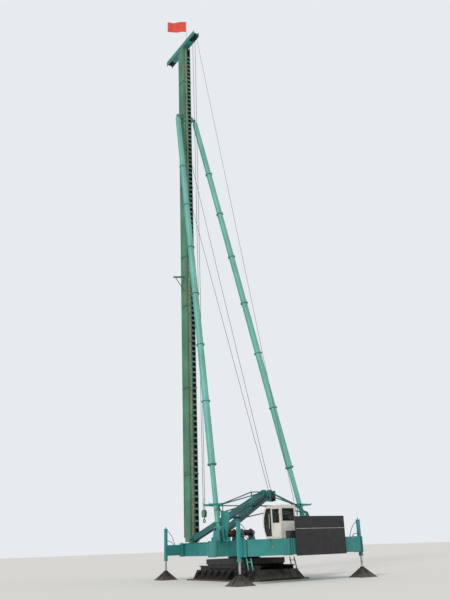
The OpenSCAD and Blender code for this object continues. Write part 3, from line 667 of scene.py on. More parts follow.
toObject("motorRibs", unitRibs, tealPaint, "platform")
filler = [(0.045, -0.002), (0.045, 0.03), (0.06, 0.035), (0.06, 0.06), (0.04, 0.075), (0, 0.078)]
gauge = [(0.05, -0.002), (0.05, 0.012), (0.042, 0.012), (0.042, 0.008), (0, 0.008)]
for x in unit["fillers"]:
    lathe(unitFittings, Matrix.Translation((x, -0.42, unit["top"])), filler, 20)
    boltRow(unitFittings, (x - 0.1, -0.84, unit["top"]), (x + 0.1, -0.84, unit["top"]), 2, (0, 0, 1), 0.012)
returnPipe = curved((-4.3, -0.605, 2.6), (0.3, 0, 0.3), (-4.12, -0.5, 2.39), (0, 0, -0.5), 16)
sweep(unitFittings, returnPipe, 0.02, 10)
lathe(unitFittings, aim((-4.6, -0.33, 2.2), (0, 1, 0)), gauge, 24)
toObject("oilUnitFittings", unitFittings, boltSteel, "platform")

# wire on the drums, motors and bolts of the winches
winch = {
    "wire": 0.014, "lay": 2.02, "steps": 20, "bolts": 8, "circle": 0.095, "bearing": 0.165,
    # name, body, length of the drum, radius of its core
    "drums": (("main", "main_drum", 0.7, 0.14), ("aux", "aux_drum", 0.6, 0.119)),
    "motor": ((0.07, -0.01), (0.07, 0.03), (0.055, 0.035), (0.055, 0.14), (0.045, 0.15), (0, 0.15)),
    # distance from the drum's axis, half length, half width, place on the frame
    "pad": (0.27, 0.05, 0.035, 0.08),
}
wire, steps = winch["wire"], winch["steps"]
winchParts = bmesh.new()
for name, body, long, core in winch["drums"]:
    x, _, z = middle(body)
    wound = bmesh.new()
    turns = int((long - 0.06) / (2.05 * wire))
    start = -long / 2 + 0.03 + wire
    coil = []
    for k in range(turns * steps + 1):
        a = 2 * math.pi * k / steps
        reach = core + wire
        along = start + winch["lay"] * wire * k / steps
        coil.append((x + reach * math.cos(a), along, z + reach * math.sin(a)))
    sweep(wound, coil, wire, 6)
    toObject(name + "DrumWire", wound, ropeWire, body)
for name, body, long, core in winch["drums"]:
    x, _, z = middle(body)
    face = long / 2 + winch["bearing"]
    for side in (1, -1):
        for a in angles(winch["bolts"]):
            at = (x + winch["circle"] * math.cos(a), side * face, z + winch["circle"] * math.sin(a))
            hexBolt(winchParts, at, (0, side, 0), 0.013)
    lathe(winchParts, aim((x, face, z), (0, 1, 0)), winch["motor"], 20)
    away, halfLong, halfWide, inset = winch["pad"]
    for dx in (-away, away):
        for side in (1, -1):
            y = side * (long / 2 + inset)
            hexBolt(winchParts, (x + dx, y, deck + 0.012), (0, 0, 1), 0.016)
            brick(winchParts, (x + dx - halfLong, y - halfWide, deck - 0.002),
                  (x + dx + halfLong, y + halfWide, deck + 0.012))
toObject("winchMotors", winchParts, sheaveIron, "platform")
print("platform trim ready")

# pins and bolts of the gantry and of the stays' feet
gantryPin = {"x": 2.68, "y": 0.885, "z": 2.01, "radius": 0.05, "keeper": 0.883}
stayPin = {"x": -2.95, "y": 2.865, "z": 2.38, "radius": 0.055, "keeper": 2.849}
headPlate = {"y": 0.16, "columns": (-3.78, -3.36), "rows": (3.68, 4.05), "axle": (-3.67, 3.8)}
gantryTrim = bmesh.new()
for side in (1, -1):
    for pin in (gantryPin, stayPin):
        r = pin["radius"]
        cap = [(r, 0), (r, 0.03), (r * 0.6, 0.036), (0, 0.036)]
        lathe(gantryTrim, aim((pin["x"], side * pin["y"], pin["z"]), (0, side, 0)), cap, 20)
        for dx in (-0.075, 0.075):
            at = (pin["x"] + dx, side * pin["keeper"], pin["z"] + 0.05)
            hexBolt(gantryTrim, at, (0, side, 0), 0.012)
    y = side * headPlate["y"]
    low, high = headPlate["rows"]
    for x in headPlate["columns"]:
        boltRow(gantryTrim, (x, y, low), (x, y, high), 4, (0, side, 0), 0.014)
    axleCap = [(0.06, 0), (0.06, 0.05), (0.045, 0.055), (0, 0.055)]
    x, z = headPlate["axle"]
    lathe(gantryTrim, aim((x, y, z), (0, side, 0)), axleCap, 20)
toObject("gantryPins", gantryTrim, boltSteel, "platform")

# forks above the tall gussets that hold the stays, and the thin braces from them to the gantry
fork = {"x": -2.677, "z": 3.5, "gap": 0.27, "thick": 0.045, "reach": 3.12, "root": 2.4, "post": 2.43}
brace = {"radius": 0.028, "king": (-2.38, 0.26, 4.16), "kingFoot": 3.76, "head": (-3.4, 0.17, 4.09),
         "leg": ((2.68, 0.715, 2.01), (-3.42, 0.17, 4.05)), "shares": (0.74, 0.48)}
stayForks, braces = bmesh.new(), bmesh.new()
x, z, reach, root, post = (fork[key] for key in ("x", "z", "reach", "root", "post"))
legLow, legHigh = (Vector(p) for p in brace["leg"])
outer = fork["gap"] + fork["thick"]
for side in (1, -1):
    tine = [(root, z - 0.06), (reach, z - 0.03), (reach + 0.1, z + 0.1),
            (reach + 0.03, z + 0.05), (root, z + 0.07)]
    for x0, x1 in ((x - outer, x - fork["gap"]), (x + fork["gap"], x + outer)):
        slab(stayForks, [(side * u, v) for u, v in tine], 0, x0, x1)
    low, high = span(side, root, root + 0.06)
    brick(stayForks, (x - outer, low, z - 0.07), (x + outer, high, z + 0.08))
    for dx in (-0.3, 0.0):
        brick(stayForks, (x + dx - 0.03, side * post - 0.012, 3.0), (x + dx + 0.03, side * post + 0.012, z))
    start = (x, side * post, z)
    king, head = ((p[0], side * p[1], p[2]) for p in (brace["king"], brace["head"]))
    kingFoot = (king[0], king[1], brace["kingFoot"])
    for a, b in ((start, king), (king, head), (start, head), (king, kingFoot)):
        sweep(braces, [a, b], brace["radius"], 10)
    for u in brace["shares"]:
        leg = legLow.lerp(legHigh, u)
        ends = [(x + 0.1, side * post, z - 0.02), (leg.x, side * (leg.y + 0.1), leg.z)]
        sweep(braces, ends, brace["radius"], 10)
toObject("gantryBraces", braces, gantryShadedTeal, "platform")
toObject("stayForks", stayForks, tealPaint, "platform", 0.004)

# hoist rope from the head's rear sheaves to the hook block
rope = {"hoist": 0.014, "raising": 0.012, "lead": 0.010, "falls": (-0.1, 0.1),
        "blockEnd": 3.55, "kept": 0.1064,
        "raisingFoot": (-3.62, 4.05), "mastFace": 3.74, "tops": ((0.07, 24.6), (-0.07, 27.7))}
headX, _, headZ = middle("head_sheave_rear")
headPin = (headX, 0, headZ + 0.01)
hoistLines = bmesh.new()
for y in rope["falls"]:
    fall = straight((headX, y, headPin[2]), (headX, y * 0.5, rope["blockEnd"]), 40)
    sweep(hoistLines, fall, rope["hoist"], 8)
hoist = toObject("hoistRopes", hoistLines, ropeWire, "mast")
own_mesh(hoist)

# raising ropes from the gantry's sheave to the mast, lead rope from the head to a block behind the cab
raising = bmesh.new()
footX, footZ = rope["raisingFoot"]
for y, top in rope["tops"]:
    sweep(raising, straight((footX, y, footZ), (rope["mastFace"], y, top), 40, 0.05), rope["raising"], 8)
raisingRopes = toObject("raisingRopes", raising, ropeWire, None)
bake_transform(raisingRopes)
snatch = {"at": (-5.5, -0.255, 1.96), "leadTop": (2.4, -0.02, 37.1),
          "cheeks": (-0.024, 0.012), "cheek": 0.012}
lead = bmesh.new()
sweep(lead, straight(snatch["at"], snatch["leadTop"], 40, 0.12), rope["lead"], 8)
leadRope = toObject("leadRope", lead, ropeWire, None)
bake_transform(leadRope)
snatchBlock = bmesh.new()
x, y, z = snatch["at"]
cheek = [(x - 0.07, deck - 0.002), (x + 0.07, deck - 0.002), (x + 0.05, z), (x, z + 0.05), (x - 0.05, z)]
for dy in snatch["cheeks"]:
    slab(snatchBlock, cheek, 1, y + dy, y + dy + snatch["cheek"])
wheel = [(0.05, 0), (0.042, 0.012), (0.05, 0.024)]
lathe(snatchBlock, aim((x + 0.01, y - 0.012, 1.94), (0, 1, 0)), wheel, 24)
toObject("snatchBlock", snatchBlock, blockPaint, "platform")

# rope sockets and bolts that stay with the hook block, the long tails cover the rope's end when it is low
socket = {"falls": (-0.05, 0.05), "z": 3.4, "cheek": 0.084,
          "profile": ((0.026, 0), (0.03, 0.1), (0.019, 0.2), (0.0165, 0.24), (0.0165, 0.85)),
          "bolts": ((2.58, 3.25), (2.76, 3.25), (2.58, 3.5), (2.76, 3.5), (2.67, 3.43))}
sockets = bmesh.new()
for y in socket["falls"]:
    lathe(sockets, Matrix.Translation((headX, y, socket["z"])), socket["profile"], 12)
for side in (-1, 1):
    for x, z in socket["bolts"]:
        hexBolt(sockets, (x, side * socket["cheek"], z), (0, side, 0), 0.016)
toObject("hookSockets", sockets, boltSteel, "hook_block")
print("ropes ready")

# ladder rungs in the mast's recess, dark sheets on its back and sides as painted shade for the hollow mast
# behind them, joint bands with their bolts and webs
mast = {
    "x": 4.03, "half": 0.3, "top": 36.92, "foot": 1.95, "recess": (-0.27, -0.03), "deep": 3.876,
    "rung": (0.34, 0.11),
    "joints": (5.7, 10.9, 16.27, 19.75, 25.0, 30.3, 33.78), "bare": (10.9, 19.75, 30.3), "proud": 0.035,
    "band": 0.03, "webs": (-0.2, -0.05, 0.1, 0.25),
}
mastX, half, band = mast["x"], mast["half"], mast["band"]
face, out = mastX - half, half + mast["proud"]
low, high = mast["recess"]
rungStep, rungTall = mast["rung"]
rungs, ladderShadeSheets, bands, bandBolts = (bmesh.new() for _ in range(4))
for k in range(int((mast["top"] - 2.6) / rungStep)):
    z = 2.3 + k * rungStep
    slab(rungs, oblong((face - 0.002, low), (face + 0.012, high)), 2, z, z + rungTall)
    lip = oblong((face + 0.012, low + 0.01), (face + 0.05, high - 0.01))
    slab(rungs, lip, 2, z + rungTall - 0.014, z + rungTall)
toObject("mastRungs", rungs, mastPaint, "mast")
# black back and side sheets in each section of the recess: painted shade for the open, hollow inside of the
# mast
deep = mast["deep"]
for z0, z1 in zip((mast["foot"],) + mast["joints"], mast["joints"] + (36.9,)):
    z0, z1 = z0 + 0.04, z1 - 0.04
    slab(ladderShadeSheets, oblong((deep - 0.004, low + 0.004), (deep, high - 0.004)), 2, z0, z1)
    for y0, y1 in ((low, low + 0.003), (high - 0.003, high)):
        slab(ladderShadeSheets, oblong((face + 0.014, y0), (deep - 0.006, y1)), 2, z0, z1)
toObject("ladderShadeSheets", ladderShadeSheets, boardBlack, "mast")
mid = half + mast["proud"] / 2
for z in mast["joints"]:
    if z in mast["bare"]:  # bands where two of the frame's mast sections meet
        plans = [((mastX - out, y0), (mastX + out, y1))
                 for y0, y1 in (span(1, half, out), span(-1, half, out))]
        plans += [((mastX + half, -half), (mastX + out, half)), ((mastX - out, high), (mastX - half, half)),
                  ((mastX - out, -half), (mastX - half, low))]
        for a, b in plans:
            slab(bands, oblong(a, b), 2, z - band, z + band)
    for up in (1, -1):
        level = z + up * band
        for side in (1, -1):
            boltRow(bandBolts, (3.78, side * mid, level), (4.28, side * mid, level), 6, (0, 0, up), 0.015)
        boltRow(bandBolts, (mastX - mid, 0.01, level), (mastX - mid, 0.28, level), 4, (0, 0, up), 0.015)
        boltRow(bandBolts, (mastX + mid, -0.15, level), (mastX + mid, 0.15, level), 4, (0, 0, up), 0.015)
    for side in (1, -1):
        for dx in mast["webs"]:
            for up in (1, -1):
                web = oblong((mastX + dx, z + up * band), (mastX + dx + 0.012, z + up * 0.16))
                slab(bands, web, 1, *span(side, half, half + 0.014))
toObject("jointBands", bands, mastPaint, "mast", 0.003)
toObject("jointBolts", bandBolts, boltSteel, "mast")

# pipes up the mast's rear face with their clamps
riser = {
    # side place, distance from the mast's face, top, radius, sides, clamp's half width
    "pipes": ((0.12, 3.668, 36.5, 0.021, 30, 12), (0.19, 3.674, 18.0, 0.014, 18, 10)),
    "foot": 2.2, "wall": 3.72, "clamps": 22, "firstClamp": 2.9, "clampStep": 1.56,
}
mastPipe, mastClamps = bmesh.new(), bmesh.new()
for y, x, top, radius, count, around in riser["pipes"]:
    run = [(riser["wall"], y, riser["foot"])] + straight((x, y, riser["foot"] + 0.1), (x, y, top), count)
    sweep(mastPipe, run + [(riser["wall"], y, top + (0.12 if top > 20 else 0.1))], radius, around)
for k in range(riser["clamps"]):
    z = riser["firstClamp"] + riser["clampStep"] * k
    brick(mastClamps, (3.682, 0.085, z), (3.732, 0.155, z + 0.05))
    brick(mastClamps, (3.642, 0.09, z + 0.005), (3.682, 0.15, z + 0.045))
    if z < 18:
        brick(mastClamps, (3.655, 0.168, z + 0.005), (3.732, 0.212, z + 0.045))
toObject("mastPipe", mastPipe, pipeBuff, "mast")
toObject("mastPipeClamps", mastClamps, mastPaint, "mast", 0.003)

# bolts round the stays' flanges and webs below their eyes
stay = {
    "top": (3.97, 0.678, 30.73), "way": (-0.23656, 0.06912, -0.96915), "first": 5.148, "pitch": 3.481,
    "flanges": 7, "bolts": 12, "circle": 0.207, "flange": 0.03, "eye": 0.09, "web": 0.006,
    # distance along the stay and from its line
    "webOutline": ((0.19, 0.075), (0.33, 0.178), (0.5, 0.178), (0.5, 0.192), (0.33, 0.2), (0.19, 0.1)),
}
for side, sideName in sides:
    top, way = (Vector((p[0], side * p[1], p[2])) for p in (stay["top"], stay["way"]))
    way.normalize()
    across = way.orthogonal().normalized()
    other = way.cross(across)
    stayBolts, stayWebs = bmesh.new(), bmesh.new()
    for i in range(stay["flanges"]):
        centre = top + way * (stay["first"] + i * stay["pitch"])
        for a in angles(stay["bolts"]):
            ring = (across * math.cos(a) + other * math.sin(a)) * stay["circle"]
            for up in (1, -1):
                hexBolt(stayBolts, centre + ring + way * stay["flange"] * up, way * up, 0.017)
    for d in (-stay["eye"], stay["eye"]):
        for dx, dz in ((d, 0), (0, d)):
            hexBolt(stayWebs, (top.x + dx, top.y + side * 0.05, top.z + dz), (0, side, 0), 0.016)
    for a in angles(4, math.pi / 4):
        ring = across * math.cos(a) + other * math.sin(a)
        thick = way.cross(ring) * stay["web"]
        outline = [top + way * along + ring * away for along, away in stay["webOutline"]]
        prism(stayWebs, *([p + shift for p in outline] for shift in (-thick, thick)))
    toObject("stayBolts" + sideName.capitalize(), stayBolts, boltSteel, "stay_tube_" + sideName)
    toObject("stayWebs" + sideName.capitalize(), stayWebs, tubePaint, "stay_tube_" + sideName)

# stiffeners, bolts and rope guards of the head beam
headBeam = {"webs": (2.45, 2.95, 3.45, 3.9, 4.4, 4.9, 5.4, 5.75, 6.3), "web": 0.014, "levels": (36.94, 37.28),
            "plate": 0.23, "sheaves": (6.03, 2.67), "z": 37.11, "circle": 0.08,
            "guard": 0.29, "guardTop": 37.27}
headTrim, headBolts = bmesh.new(), bmesh.new()
plate, reach = headBeam["plate"], headBeam["circle"]
for side in (1, -1):
    for x in headBeam["webs"]:
        low, high = headBeam["levels"]
        slab(headTrim, oblong((x, low), (x + headBeam["web"], high)), 1, *span(side, plate, plate + 0.022))
    for x in headBeam["sheaves"]:
        for a in angles(6):
            at = (x + reach * math.cos(a), side * plate, headBeam["z"] + reach * math.sin(a))
            hexBolt(headBolts, at, (0, side, 0), 0.012)
for x in headBeam["sheaves"]:
    for a in (0.5, 1.57, 2.64):  # rods that keep the rope in its groove
        z = min(headBeam["z"] + headBeam["guard"] * math.sin(a), headBeam["guardTop"])
        sweep(headTrim, [(x + headBeam["guard"] * math.cos(a), y, z) for y in (-0.215, 0.215)], 0.012, 8)
toObject("headBeamTrim", headTrim, tealPaint, "mast", 0.002)
toObject("headBeamBolts", headBolts, boltSteel, "mast")

# foot of the flagpole
pole = {"at": (3.74, 0, 37.3), "circle": 0.085, "plate": 0.014,
        "foot": ((0.11, -0.002), (0.11, 0.014), (0.05, 0.02), (0.035, 0.12), (0.028, 0.13))}
poleX, poleY, poleZ = pole["at"]
poleFoot = bmesh.new()
lathe(poleFoot, Matrix.Translation(pole["at"]), pole["foot"], 20)
for a in angles(4, 0.78):
    at = (poleX + pole["circle"] * math.cos(a), poleY + pole["circle"] * math.sin(a), poleZ + pole["plate"])
    hexBolt(poleFoot, at, (0, 0, 1), 0.012)
toObject("poleFoot", poleFoot, poleSteel, "mast")
print("mast trim ready")

# plain red flag: a waved cloth of its real cut, with hems and two ties on the pole
flag = {"size": (1.44, 0.96), "turn": math.radians(56), "top": 39.31, "start": 0.03, "cells": (84, 52),
        "reach": 0.957, "drop": 0.985, "hem": 0.0035, "sleeve": 0.007, "tie": 0.003}


def flagPoint(u, v):  # u runs from the pole along the cloth, v down from the top edge
    grow = min(1, u * 1.6)
    ripple = math.sin(7.6 * u + 0.9 * v) * 0.055 * grow + math.sin(15.5 * u - 2.2 * v + 0.7) * 0.014 * grow
    reach = flag["start"] + u * flag["size"][0] * flag["reach"]
    droop = 0.03 * u * u * (1 - 0.6 * v)
    x = poleX + reach * math.cos(flag["turn"]) - ripple * math.sin(flag["turn"])
    y = poleY + reach * math.sin(flag["turn"]) + ripple * math.cos(flag["turn"])
    return Vector((x, y, flag["top"] - v * flag["size"][1] * flag["drop"] - droop))


cloth, hems = bmesh.new(), bmesh.new()
wide, tall = flag["cells"]
grid = [[cloth.verts.new(flagPoint(i / wide, j / tall)) for j in range(tall + 1)] for i in range(wide + 1)]
for i in range(wide):
    for j in range(tall):
        cell = cloth.faces.new((grid[i][j], grid[i + 1][j], grid[i + 1][j + 1], grid[i][j + 1]))
        cell.smooth = True
flagPiece = toObject("flagSheet", cloth, flagRed, "mast")
for v in (0.006, 0.994):
    sweep(hems, [flagPoint(i / 60, v) for i in range(61)], flag["hem"], 6)
for u, radius, around in ((0.994, flag["hem"], 6), (0.0, flag["sleeve"], 8)):
    sweep(hems, [flagPoint(u, j / 40) for j in range(41)], radius, around)
for v in (0.03, 0.97):
    z = flagPoint(0, v).z
    tie = [(poleX + 0.032 * math.cos(a), poleY + 0.032 * math.sin(a), z + 0.004 * a)
           for a in (k * 0.52 for k in range(14))]
    sweep(hems, tie, flag["tie"], 6)
hemPiece = toObject("flagHems", hems, flagRed, "mast")
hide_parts("flag")

# cab: seals, door, gutters, hatch, grab rail, wiper and steps
cab = {
    "left": 0.72, "radius": 1.15, "centre": (0.25, 0.70), "windowArc": 1.06, "sill": 0.12, "head": 1.37,
    "rearWindow": ((-0.07, 2.64), (0.61, 2.64), (0.61, 3.19), (-0.07, 3.19), (-0.07, 2.64), (0.0, 2.64)),
    "doorWindow": ((-5.154, 2.566), (-4.65, 2.566), (-4.65, 3.184),
                   (-5.154, 3.184), (-5.154, 2.566), (-5.05, 2.566)),
    "doorHandle": ((-4.72, 0.72, 2.3), (-4.72, 0.756, 2.31), (-4.72, 0.756, 2.5), (-4.72, 0.72, 2.51)),
    "grabRail": ((-4.44, 0.72, 2.3), (-4.44, 0.765, 2.31), (-4.44, 0.765, 2.95), (-4.44, 0.72, 2.96)),
}
(cabX, cabRight, cabZ), (_, _, cabTop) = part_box("cab_shell")
cabLeft = cab["left"]


def cabArc(radius, low, high, count=18):  # points of the curved front between two heights
    cx, cz = cab["centre"]
    a0, a1 = math.asin((low - cz) / radius), math.asin((high - cz) / radius)
    turns = [a0 + (a1 - a0) * k / (count - 1) for k in range(count)]
    return [(cx + radius * math.cos(a), cz + radius * math.sin(a)) for a in turns]


def inCab(outline, y):
    return [(cabX + u, y, cabZ + v) for u, v in outline]


def sideWindow(rear, sill):  # closed line round a side window, its last point covers the joint
    head = cab["head"]
    arc = cabArc(cab["windowArc"], sill, head)
    over = 0.08 if sill > 0.5 else 0.05
    return [(rear, sill)] + arc + [(rear, head), (rear, sill), (rear + over, sill)]


seals, doorSeal, doorTrim, cabTrim, wiper, cabSteps = (bmesh.new() for _ in range(6))
sweep(seals, inCab(sideWindow(0.75, cab["sill"]), cabLeft - 0.003), 0.013, 8)
sweep(seals, inCab(sideWindow(0.12, 0.62), cabRight + 0.003), 0.013, 8)
sweep(seals, [(cabX + 0.003, y, z) for y, z in cab["rearWindow"]], 0.012, 8)
for y in (-0.095, 0.635):
    sweep(seals, inCab(cabArc(cab["radius"] - 0.004, 0.13, 1.36, 24), y), 0.011, 8)
toObject("cabSeals", seals, hoseRubber, "platform")
sweep(doorSeal, [(x, 0.719, z) for x, z in cab["doorWindow"]], 0.011, 8)
toObject("doorSeal", doorSeal, hoseRubber, "cab_door")
slab(doorTrim, oblong((-5.12, 2.0), (-4.68, 2.44)), 1, 0.719, 0.726)
sweep(doorTrim, cab["doorHandle"], 0.009, 10)
toObject("doorPressing", doorTrim, cabPaint, "cab_door", 0.004)
gutter = [(0.0, 1.462), (0.5, 1.464), (1.04, 1.462)] + cabArc(cab["radius"] + 0.003, 0.75, 1.44, 14)[::-1]
for y in (cabLeft + 0.004, cabRight - 0.004):
    sweep(cabTrim, inCab(gutter, y), 0.011, 8)
hatch = oblong((cabX + 0.25, cabRight + 0.2), (cabX + 0.85, cabLeft - 0.2))
slab(cabTrim, hatch, 2, cabTop - 0.005, cabTop + 0.02)
sweep(cabTrim, cab["grabRail"], 0.011, 10)
toObject("cabTrim", cabTrim, cabPaint, "platform", 0.003)
sweep(wiper, inCab(cabArc(cab["radius"] + 0.022, 0.3, 1.02, 14), 0.27), 0.007, 8)
sweep(wiper, inCab(cabArc(cab["radius"] + 0.01, 0.5, 1.25, 14), 0.24), 0.006, 6)
hub = [(0.03, -0.03), (0.03, 0.03), (0.018, 0.045), (0, 0.045)]
lathe(wiper, aim((cabX + 1.32, 0.27, cabZ + 0.28), (1, 0, -0.35)), hub, 16)
toObject("cabWiper", wiper, hoseRubber, "platform")
for z in (1.25, 1.52):
    brick(cabSteps, (-5.1, 0.93, z), (-4.7, 1.06, z + 0.02))
    for k in range(7):
        brick(cabSteps, (-5.09 + 0.06 * k, 0.94, z + 0.018), (-5.07 + 0.06 * k, 1.05, z + 0.03))
for x in (-5.11, -4.7):
    slab(cabSteps, [(flank, 1.2), (1.06, 1.2), (1.06, 1.58), (0.94, 1.72), (flank, 1.72)], 0, x, x + 0.01)
toObject("cabSteps", cabSteps, tealPaint, "platform", 0.002)


def cushion(name, low, high, puff):  # rounded pad that swells in its middle and dips along two stitched seams
    bm = bmesh.new()
    low, high = Vector(low), Vector(high)
    centre, half = (low + high) / 2, (high - low) / 2
    thin = min(range(3), key=lambda i: half[i])
    power = 5.0
    bmesh.ops.create_cube(bm, size=2)
    bmesh.ops.subdivide_edges(bm, edges=bm.edges[:], cuts=13, use_grid_fill=True)
    for v in bm.verts:
        p = v.co / sum(abs(c)**power for c in v.co)**(1 / power)
        u, w = (p[i] for i in range(3) if i != thin)
        seam = 0.12 * math.exp(-(abs(u) - 0.45)**2 / 0.002)
        p[thin] *= 0.84 + puff * (1 - u * u) * (1 - w * w) - seam
        v.co = centre + Vector((p.x * half.x, p.y * half.y, p.z * half.z))
    for each in bm.faces:
        each.smooth = True
    made = toObject(name, bm, seatFabric, "platform")
    return made


# seat with its frame and consoles in place of the plain seat
seat = {
    "cushion": ((-5.09, 0.05, 2.2), (-4.63, 0.49, 2.32)), "back": ((-5.12, 0.06, 2.31), (-5.0, 0.48, 2.78)),
    "rest": ((-5.12, 0.15, 2.8), (-5.03, 0.39, 2.93)), "fold": 0.055,
    "consoles": ((-0.07, 0.01), (0.53, 0.61)),
    "console": ((-5.07, 1.905), (-4.5, 1.905), (-4.47, 2.3), (-4.55, 2.46), (-5.0, 2.46), (-5.07, 2.4)),
    "pedalBox": ((-4.31, 1.905), (-4.2, 1.905), (-4.2, 2.1), (-4.28, 2.2)),
    "pedal": ((-4.36, 1.93), (-4.25, 2.03), (-4.25, 2.045), (-4.36, 1.945)),
    "knob": ((0.012, 0), (0.02, 0.015), (0.022, 0.045), (0.012, 0.062), (0, 0.065)),
}
seatCushion = cushion("seatCushion", *seat["cushion"], 0.18)
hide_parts("cab_seat")
cushion("seatBack", *seat["back"], 0.2)
cushion("headRest", *seat["rest"], 0.15)
seatFrame, levers = bmesh.new(), bmesh.new()
slab(seatFrame, oblong((-5.08, 0.07), (-4.66, 0.47)), 2, 2.185, 2.205)
for k in range(5):  # bellows under the seat
    grow = 0.012 * (k % 2)
    z = 1.91 + seat["fold"] * k
    brick(seatFrame, (-5.02 - grow, 0.12 - grow, z), (-4.74 + grow, 0.42 + grow, z + seat["fold"]))
for y in (0.2, 0.34):
    sweep(seatFrame, [(-5.08, y, 2.2), (-5.125, y, 2.3), (-5.125, y, 2.85)], 0.009, 8)
for y0, y1 in seat["consoles"]:
    slab(seatFrame, seat["console"], 1, y0, y1)
slab(seatFrame, seat["pedalBox"], 1, 0.02, 0.52)
toObject("seatFrame", seatFrame, cabinetPaint, "platform", 0.006)
for y in (-0.03, 0.57):
    for x in (-4.72, -4.62):
        sweep(levers, [(x, y, 2.45), (x + 0.005, y, 2.53), (x + 0.02, y, 2.6)], 0.007, 8)
        lathe(levers, Matrix.Translation((x + 0.022, y, 2.585)), seat["knob"], 16)
for y in (0.17, 0.37):
    slab(levers, seat["pedal"], 1, y - 0.045, y + 0.045)
toObject("cabLevers", levers, hoseRubber, "platform")
print("cab fitted")

# webs at the shoe's ends, a pale grab frame on each flank and bolts on its rails
shoe = {"webs": (-1.1, -0.66, -0.22, 0.22, 0.66, 1.1), "web": 0.01, "ends": (2.99, 2.66),
        "strip": 2.6, "side": 1.25,
        "grabY": 1.31, "posts": (-3.71, -3.36), "lean": 0.16, "rail": (-3.6, -3.24, 0.86)}
shoeX, shoeSide, grabY = middle("shoe").x, shoe["side"], shoe["grabY"]
shoeWebs, shoeStruts, shoeBolts = bmesh.new(), bmesh.new(), bmesh.new()
for end in (1, -1):
    x0, x1 = (shoeX + end * reach for reach in shoe["ends"])
    for y in shoe["webs"]:
        web = [(x0, 0.112), (x1, 0.482), (x1, 0.5), (x0, 0.16)]
        slab(shoeWebs, web, 1, y - shoe["web"], y + shoe["web"])
for side in (1, -1):
    low, high = span(side, shoeSide, shoeSide + 0.025)
    brick(shoeWebs, (shoeX - shoe["strip"], low, 0.4), (shoeX + shoe["strip"], high, 0.43))
    y = side * 1.06
    boltRow(shoeBolts, (shoeX - 2.5, y, 0.68), (shoeX + 2.5, y, 0.68), 2, (0, 0, 1), 0.012)
    low, high = span(side, shoeSide - 0.005, shoeSide + 0.11)
    for x in shoe["posts"]:
        brick(shoeWebs, (x - 0.05, low, 0.45), (x + 0.05, high, 0.482))
        sweep(shoeStruts, [(x, side * grabY, 0.47), (x + shoe["lean"], side * grabY, 1.02)], 0.03, 12)
    x0, x1, z = shoe["rail"]
    sweep(shoeStruts, [(x0, side * grabY, z), (x1, side * grabY, z)], 0.018, 10)
toObject("shoeWebs", shoeWebs, baseBlack, "shoe", 0.003)
toObject("shoeStruts", shoeStruts, tubePaint, "shoe")
toObject("shoeBolts", shoeBolts, boltSteel, "shoe")

# ribs, collar and lifting eyes of the four feet
foot = {"rib": ((0.44, 0.03), (0.1, 0.405), (0.1, 0.43), (0.13, 0.43), (0.46, 0.06), (0.46, 0.03)),
        "thick": 0.009, "eyeAt": (0.4, 0.4, 0.03), "eye": 0.035,
        "collar": ((0.09, 0), (0.115, 0.0), (0.115, 0.028), (0.086, 0.03))}
for leg in ("FrontLeft", "FrontRight", "RearLeft", "RearRight"):
    body = "leg" + "".join("_" + c.lower() if c.isupper() else c for c in leg)
    x, y, _ = middle(body.replace("leg", "foot"))
    ribs = bmesh.new()
    for a in angles(4):
        turn = Matrix.Translation((x, y, 0)) @ Matrix.Rotation(a, 4, "Z")
        half = foot["thick"]
        prism(ribs, *([turn @ Vector((u, v, w)) for u, w in foot["rib"]] for v in (-half, half)))
        eye = turn @ Matrix.Translation(foot["eyeAt"])
        bow = [Vector((foot["eye"] * math.cos(b), 0, foot["eye"] * math.sin(b))) for b in angles(16)[:9]]
        sweep(ribs, [eye @ p for p in bow], 0.009, 8)
    lathe(ribs, Matrix.Translation((x, y, 0.43)), foot["collar"], 24)
    toObject("footRibs" + leg, ribs, baseBlack, body)

# lifting strap over the rear beam's edge with a golden hook
strap = {"from": (-6.25, 2.1, 1.85), "to": (-6.262, 2.04, 1.56),
         "radius": 0.008, "bend": 0.035, "hook": 0.011}
strapRun = curved(strap["from"], (-0.05, 0, -0.12), strap["to"], (0, -0.05, -0.3), 24)
strapTube, goldHook, holder = bmesh.new(), bmesh.new(), bmesh.new()
sweep(strapTube, strapRun, strap["radius"], 10)
strapPiece = toObject("liftingStrap", strapTube, ropeWire, "platform")
x, y, z = strap["to"]
r = strap["bend"]
hookLine = [(0, 0.0), (0, -0.05)]
hookLine += [(r - r * math.cos(a), -0.05 - r * math.sin(a)) for a in (k * 0.35 for k in range(1, 12))]
sweep(goldHook, [(x, y - u, z + v) for u, v in hookLine], strap["hook"], 10)
lathe(goldHook, Matrix.Translation((x, y, z - 0.01)), [(0.014, 0), (0.02, 0.01), (0.014, 0.03)], 14)
hookPiece = toObject("goldenHook", goldHook, hookBrass, "platform")
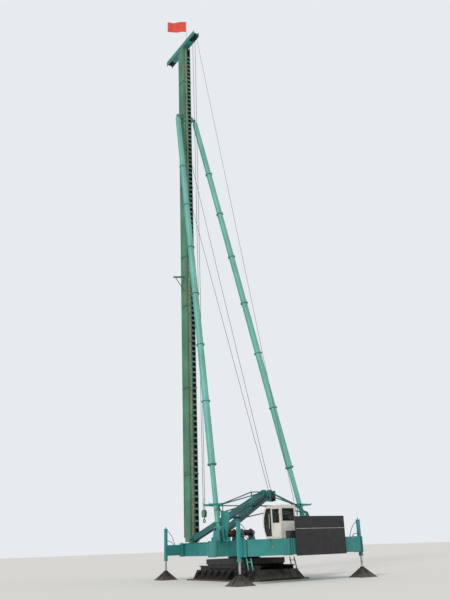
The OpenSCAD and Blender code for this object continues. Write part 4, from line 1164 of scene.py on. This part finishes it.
slab(holder, oblong((-6.262, 2.06), (-6.198, 2.14)), 2, deck - 0.002, deck + 0.012)
toObject("strapHolder", holder, boltSteel, "platform", 0.002)

# plain pale floor and sky
studio = {"floor": (0.72, 0.70, 0.66), "floorSize": 260, "soft": (0.82, 0.86, 0.92), "softPower": 0.62,
          "seen": (0.80, 0.83, 0.86)}
ground = bmesh.new()
bmesh.ops.create_grid(ground, x_segments=1, y_segments=1, size=studio["floorSize"])
groundMesh = bpy.data.meshes.new("floor")
ground.to_mesh(groundMesh)
ground.free()
floor = bpy.data.objects.new("floor", groundMesh)
scene.collection.objects.link(floor)
groundMesh.materials.append(Shader("floorPlain").finish(studio["floor"], 0.9))

world = bpy.data.worlds.new("studio")
scene.world = world
world.use_nodes = True
sky = world.node_tree
sky.nodes.clear()


def background(color, power):
    made = sky.nodes.new("ShaderNodeBackground")
    made.inputs[0].default_value = (*color, 1)
    made.inputs[1].default_value = power
    return made.outputs[0]


path = sky.nodes.new("ShaderNodeLightPath")
either = sky.nodes.new("ShaderNodeMixShader")
pick = sky.nodes.new("ShaderNodeMath")
pick.operation = "MAXIMUM"
for start, end in ((path.outputs["Is Camera Ray"], pick.inputs[0]),
                   (path.outputs["Is Transmission Ray"], pick.inputs[1]),
                   (pick.outputs[0], either.inputs[0]),
                   (background(studio["soft"], studio["softPower"]), either.inputs[1]),
                   (background(studio["seen"], 1.0), either.inputs[2]),
                   (either.outputs[0], sky.nodes.new("ShaderNodeOutputWorld").inputs[0])):
    sky.links.new(start, end)


def sun(name, power, angle, direction, color=(1, 1, 1)):
    lamp = bpy.data.lights.new(name, "SUN")
    lamp.energy = power
    lamp.angle = math.radians(angle)
    lamp.color = color
    made = bpy.data.objects.new(name, lamp)
    scene.collection.objects.link(made)
    made.rotation_euler = Vector(direction).to_track_quat("-Z", "Y").to_euler()


sun("key", 1.9, 14, (0.35, -0.75, -0.62), (1, 0.96, 0.9))
sun("fill", 0.5, 40, (0.5, 0.6, -0.45))
print("light ready")
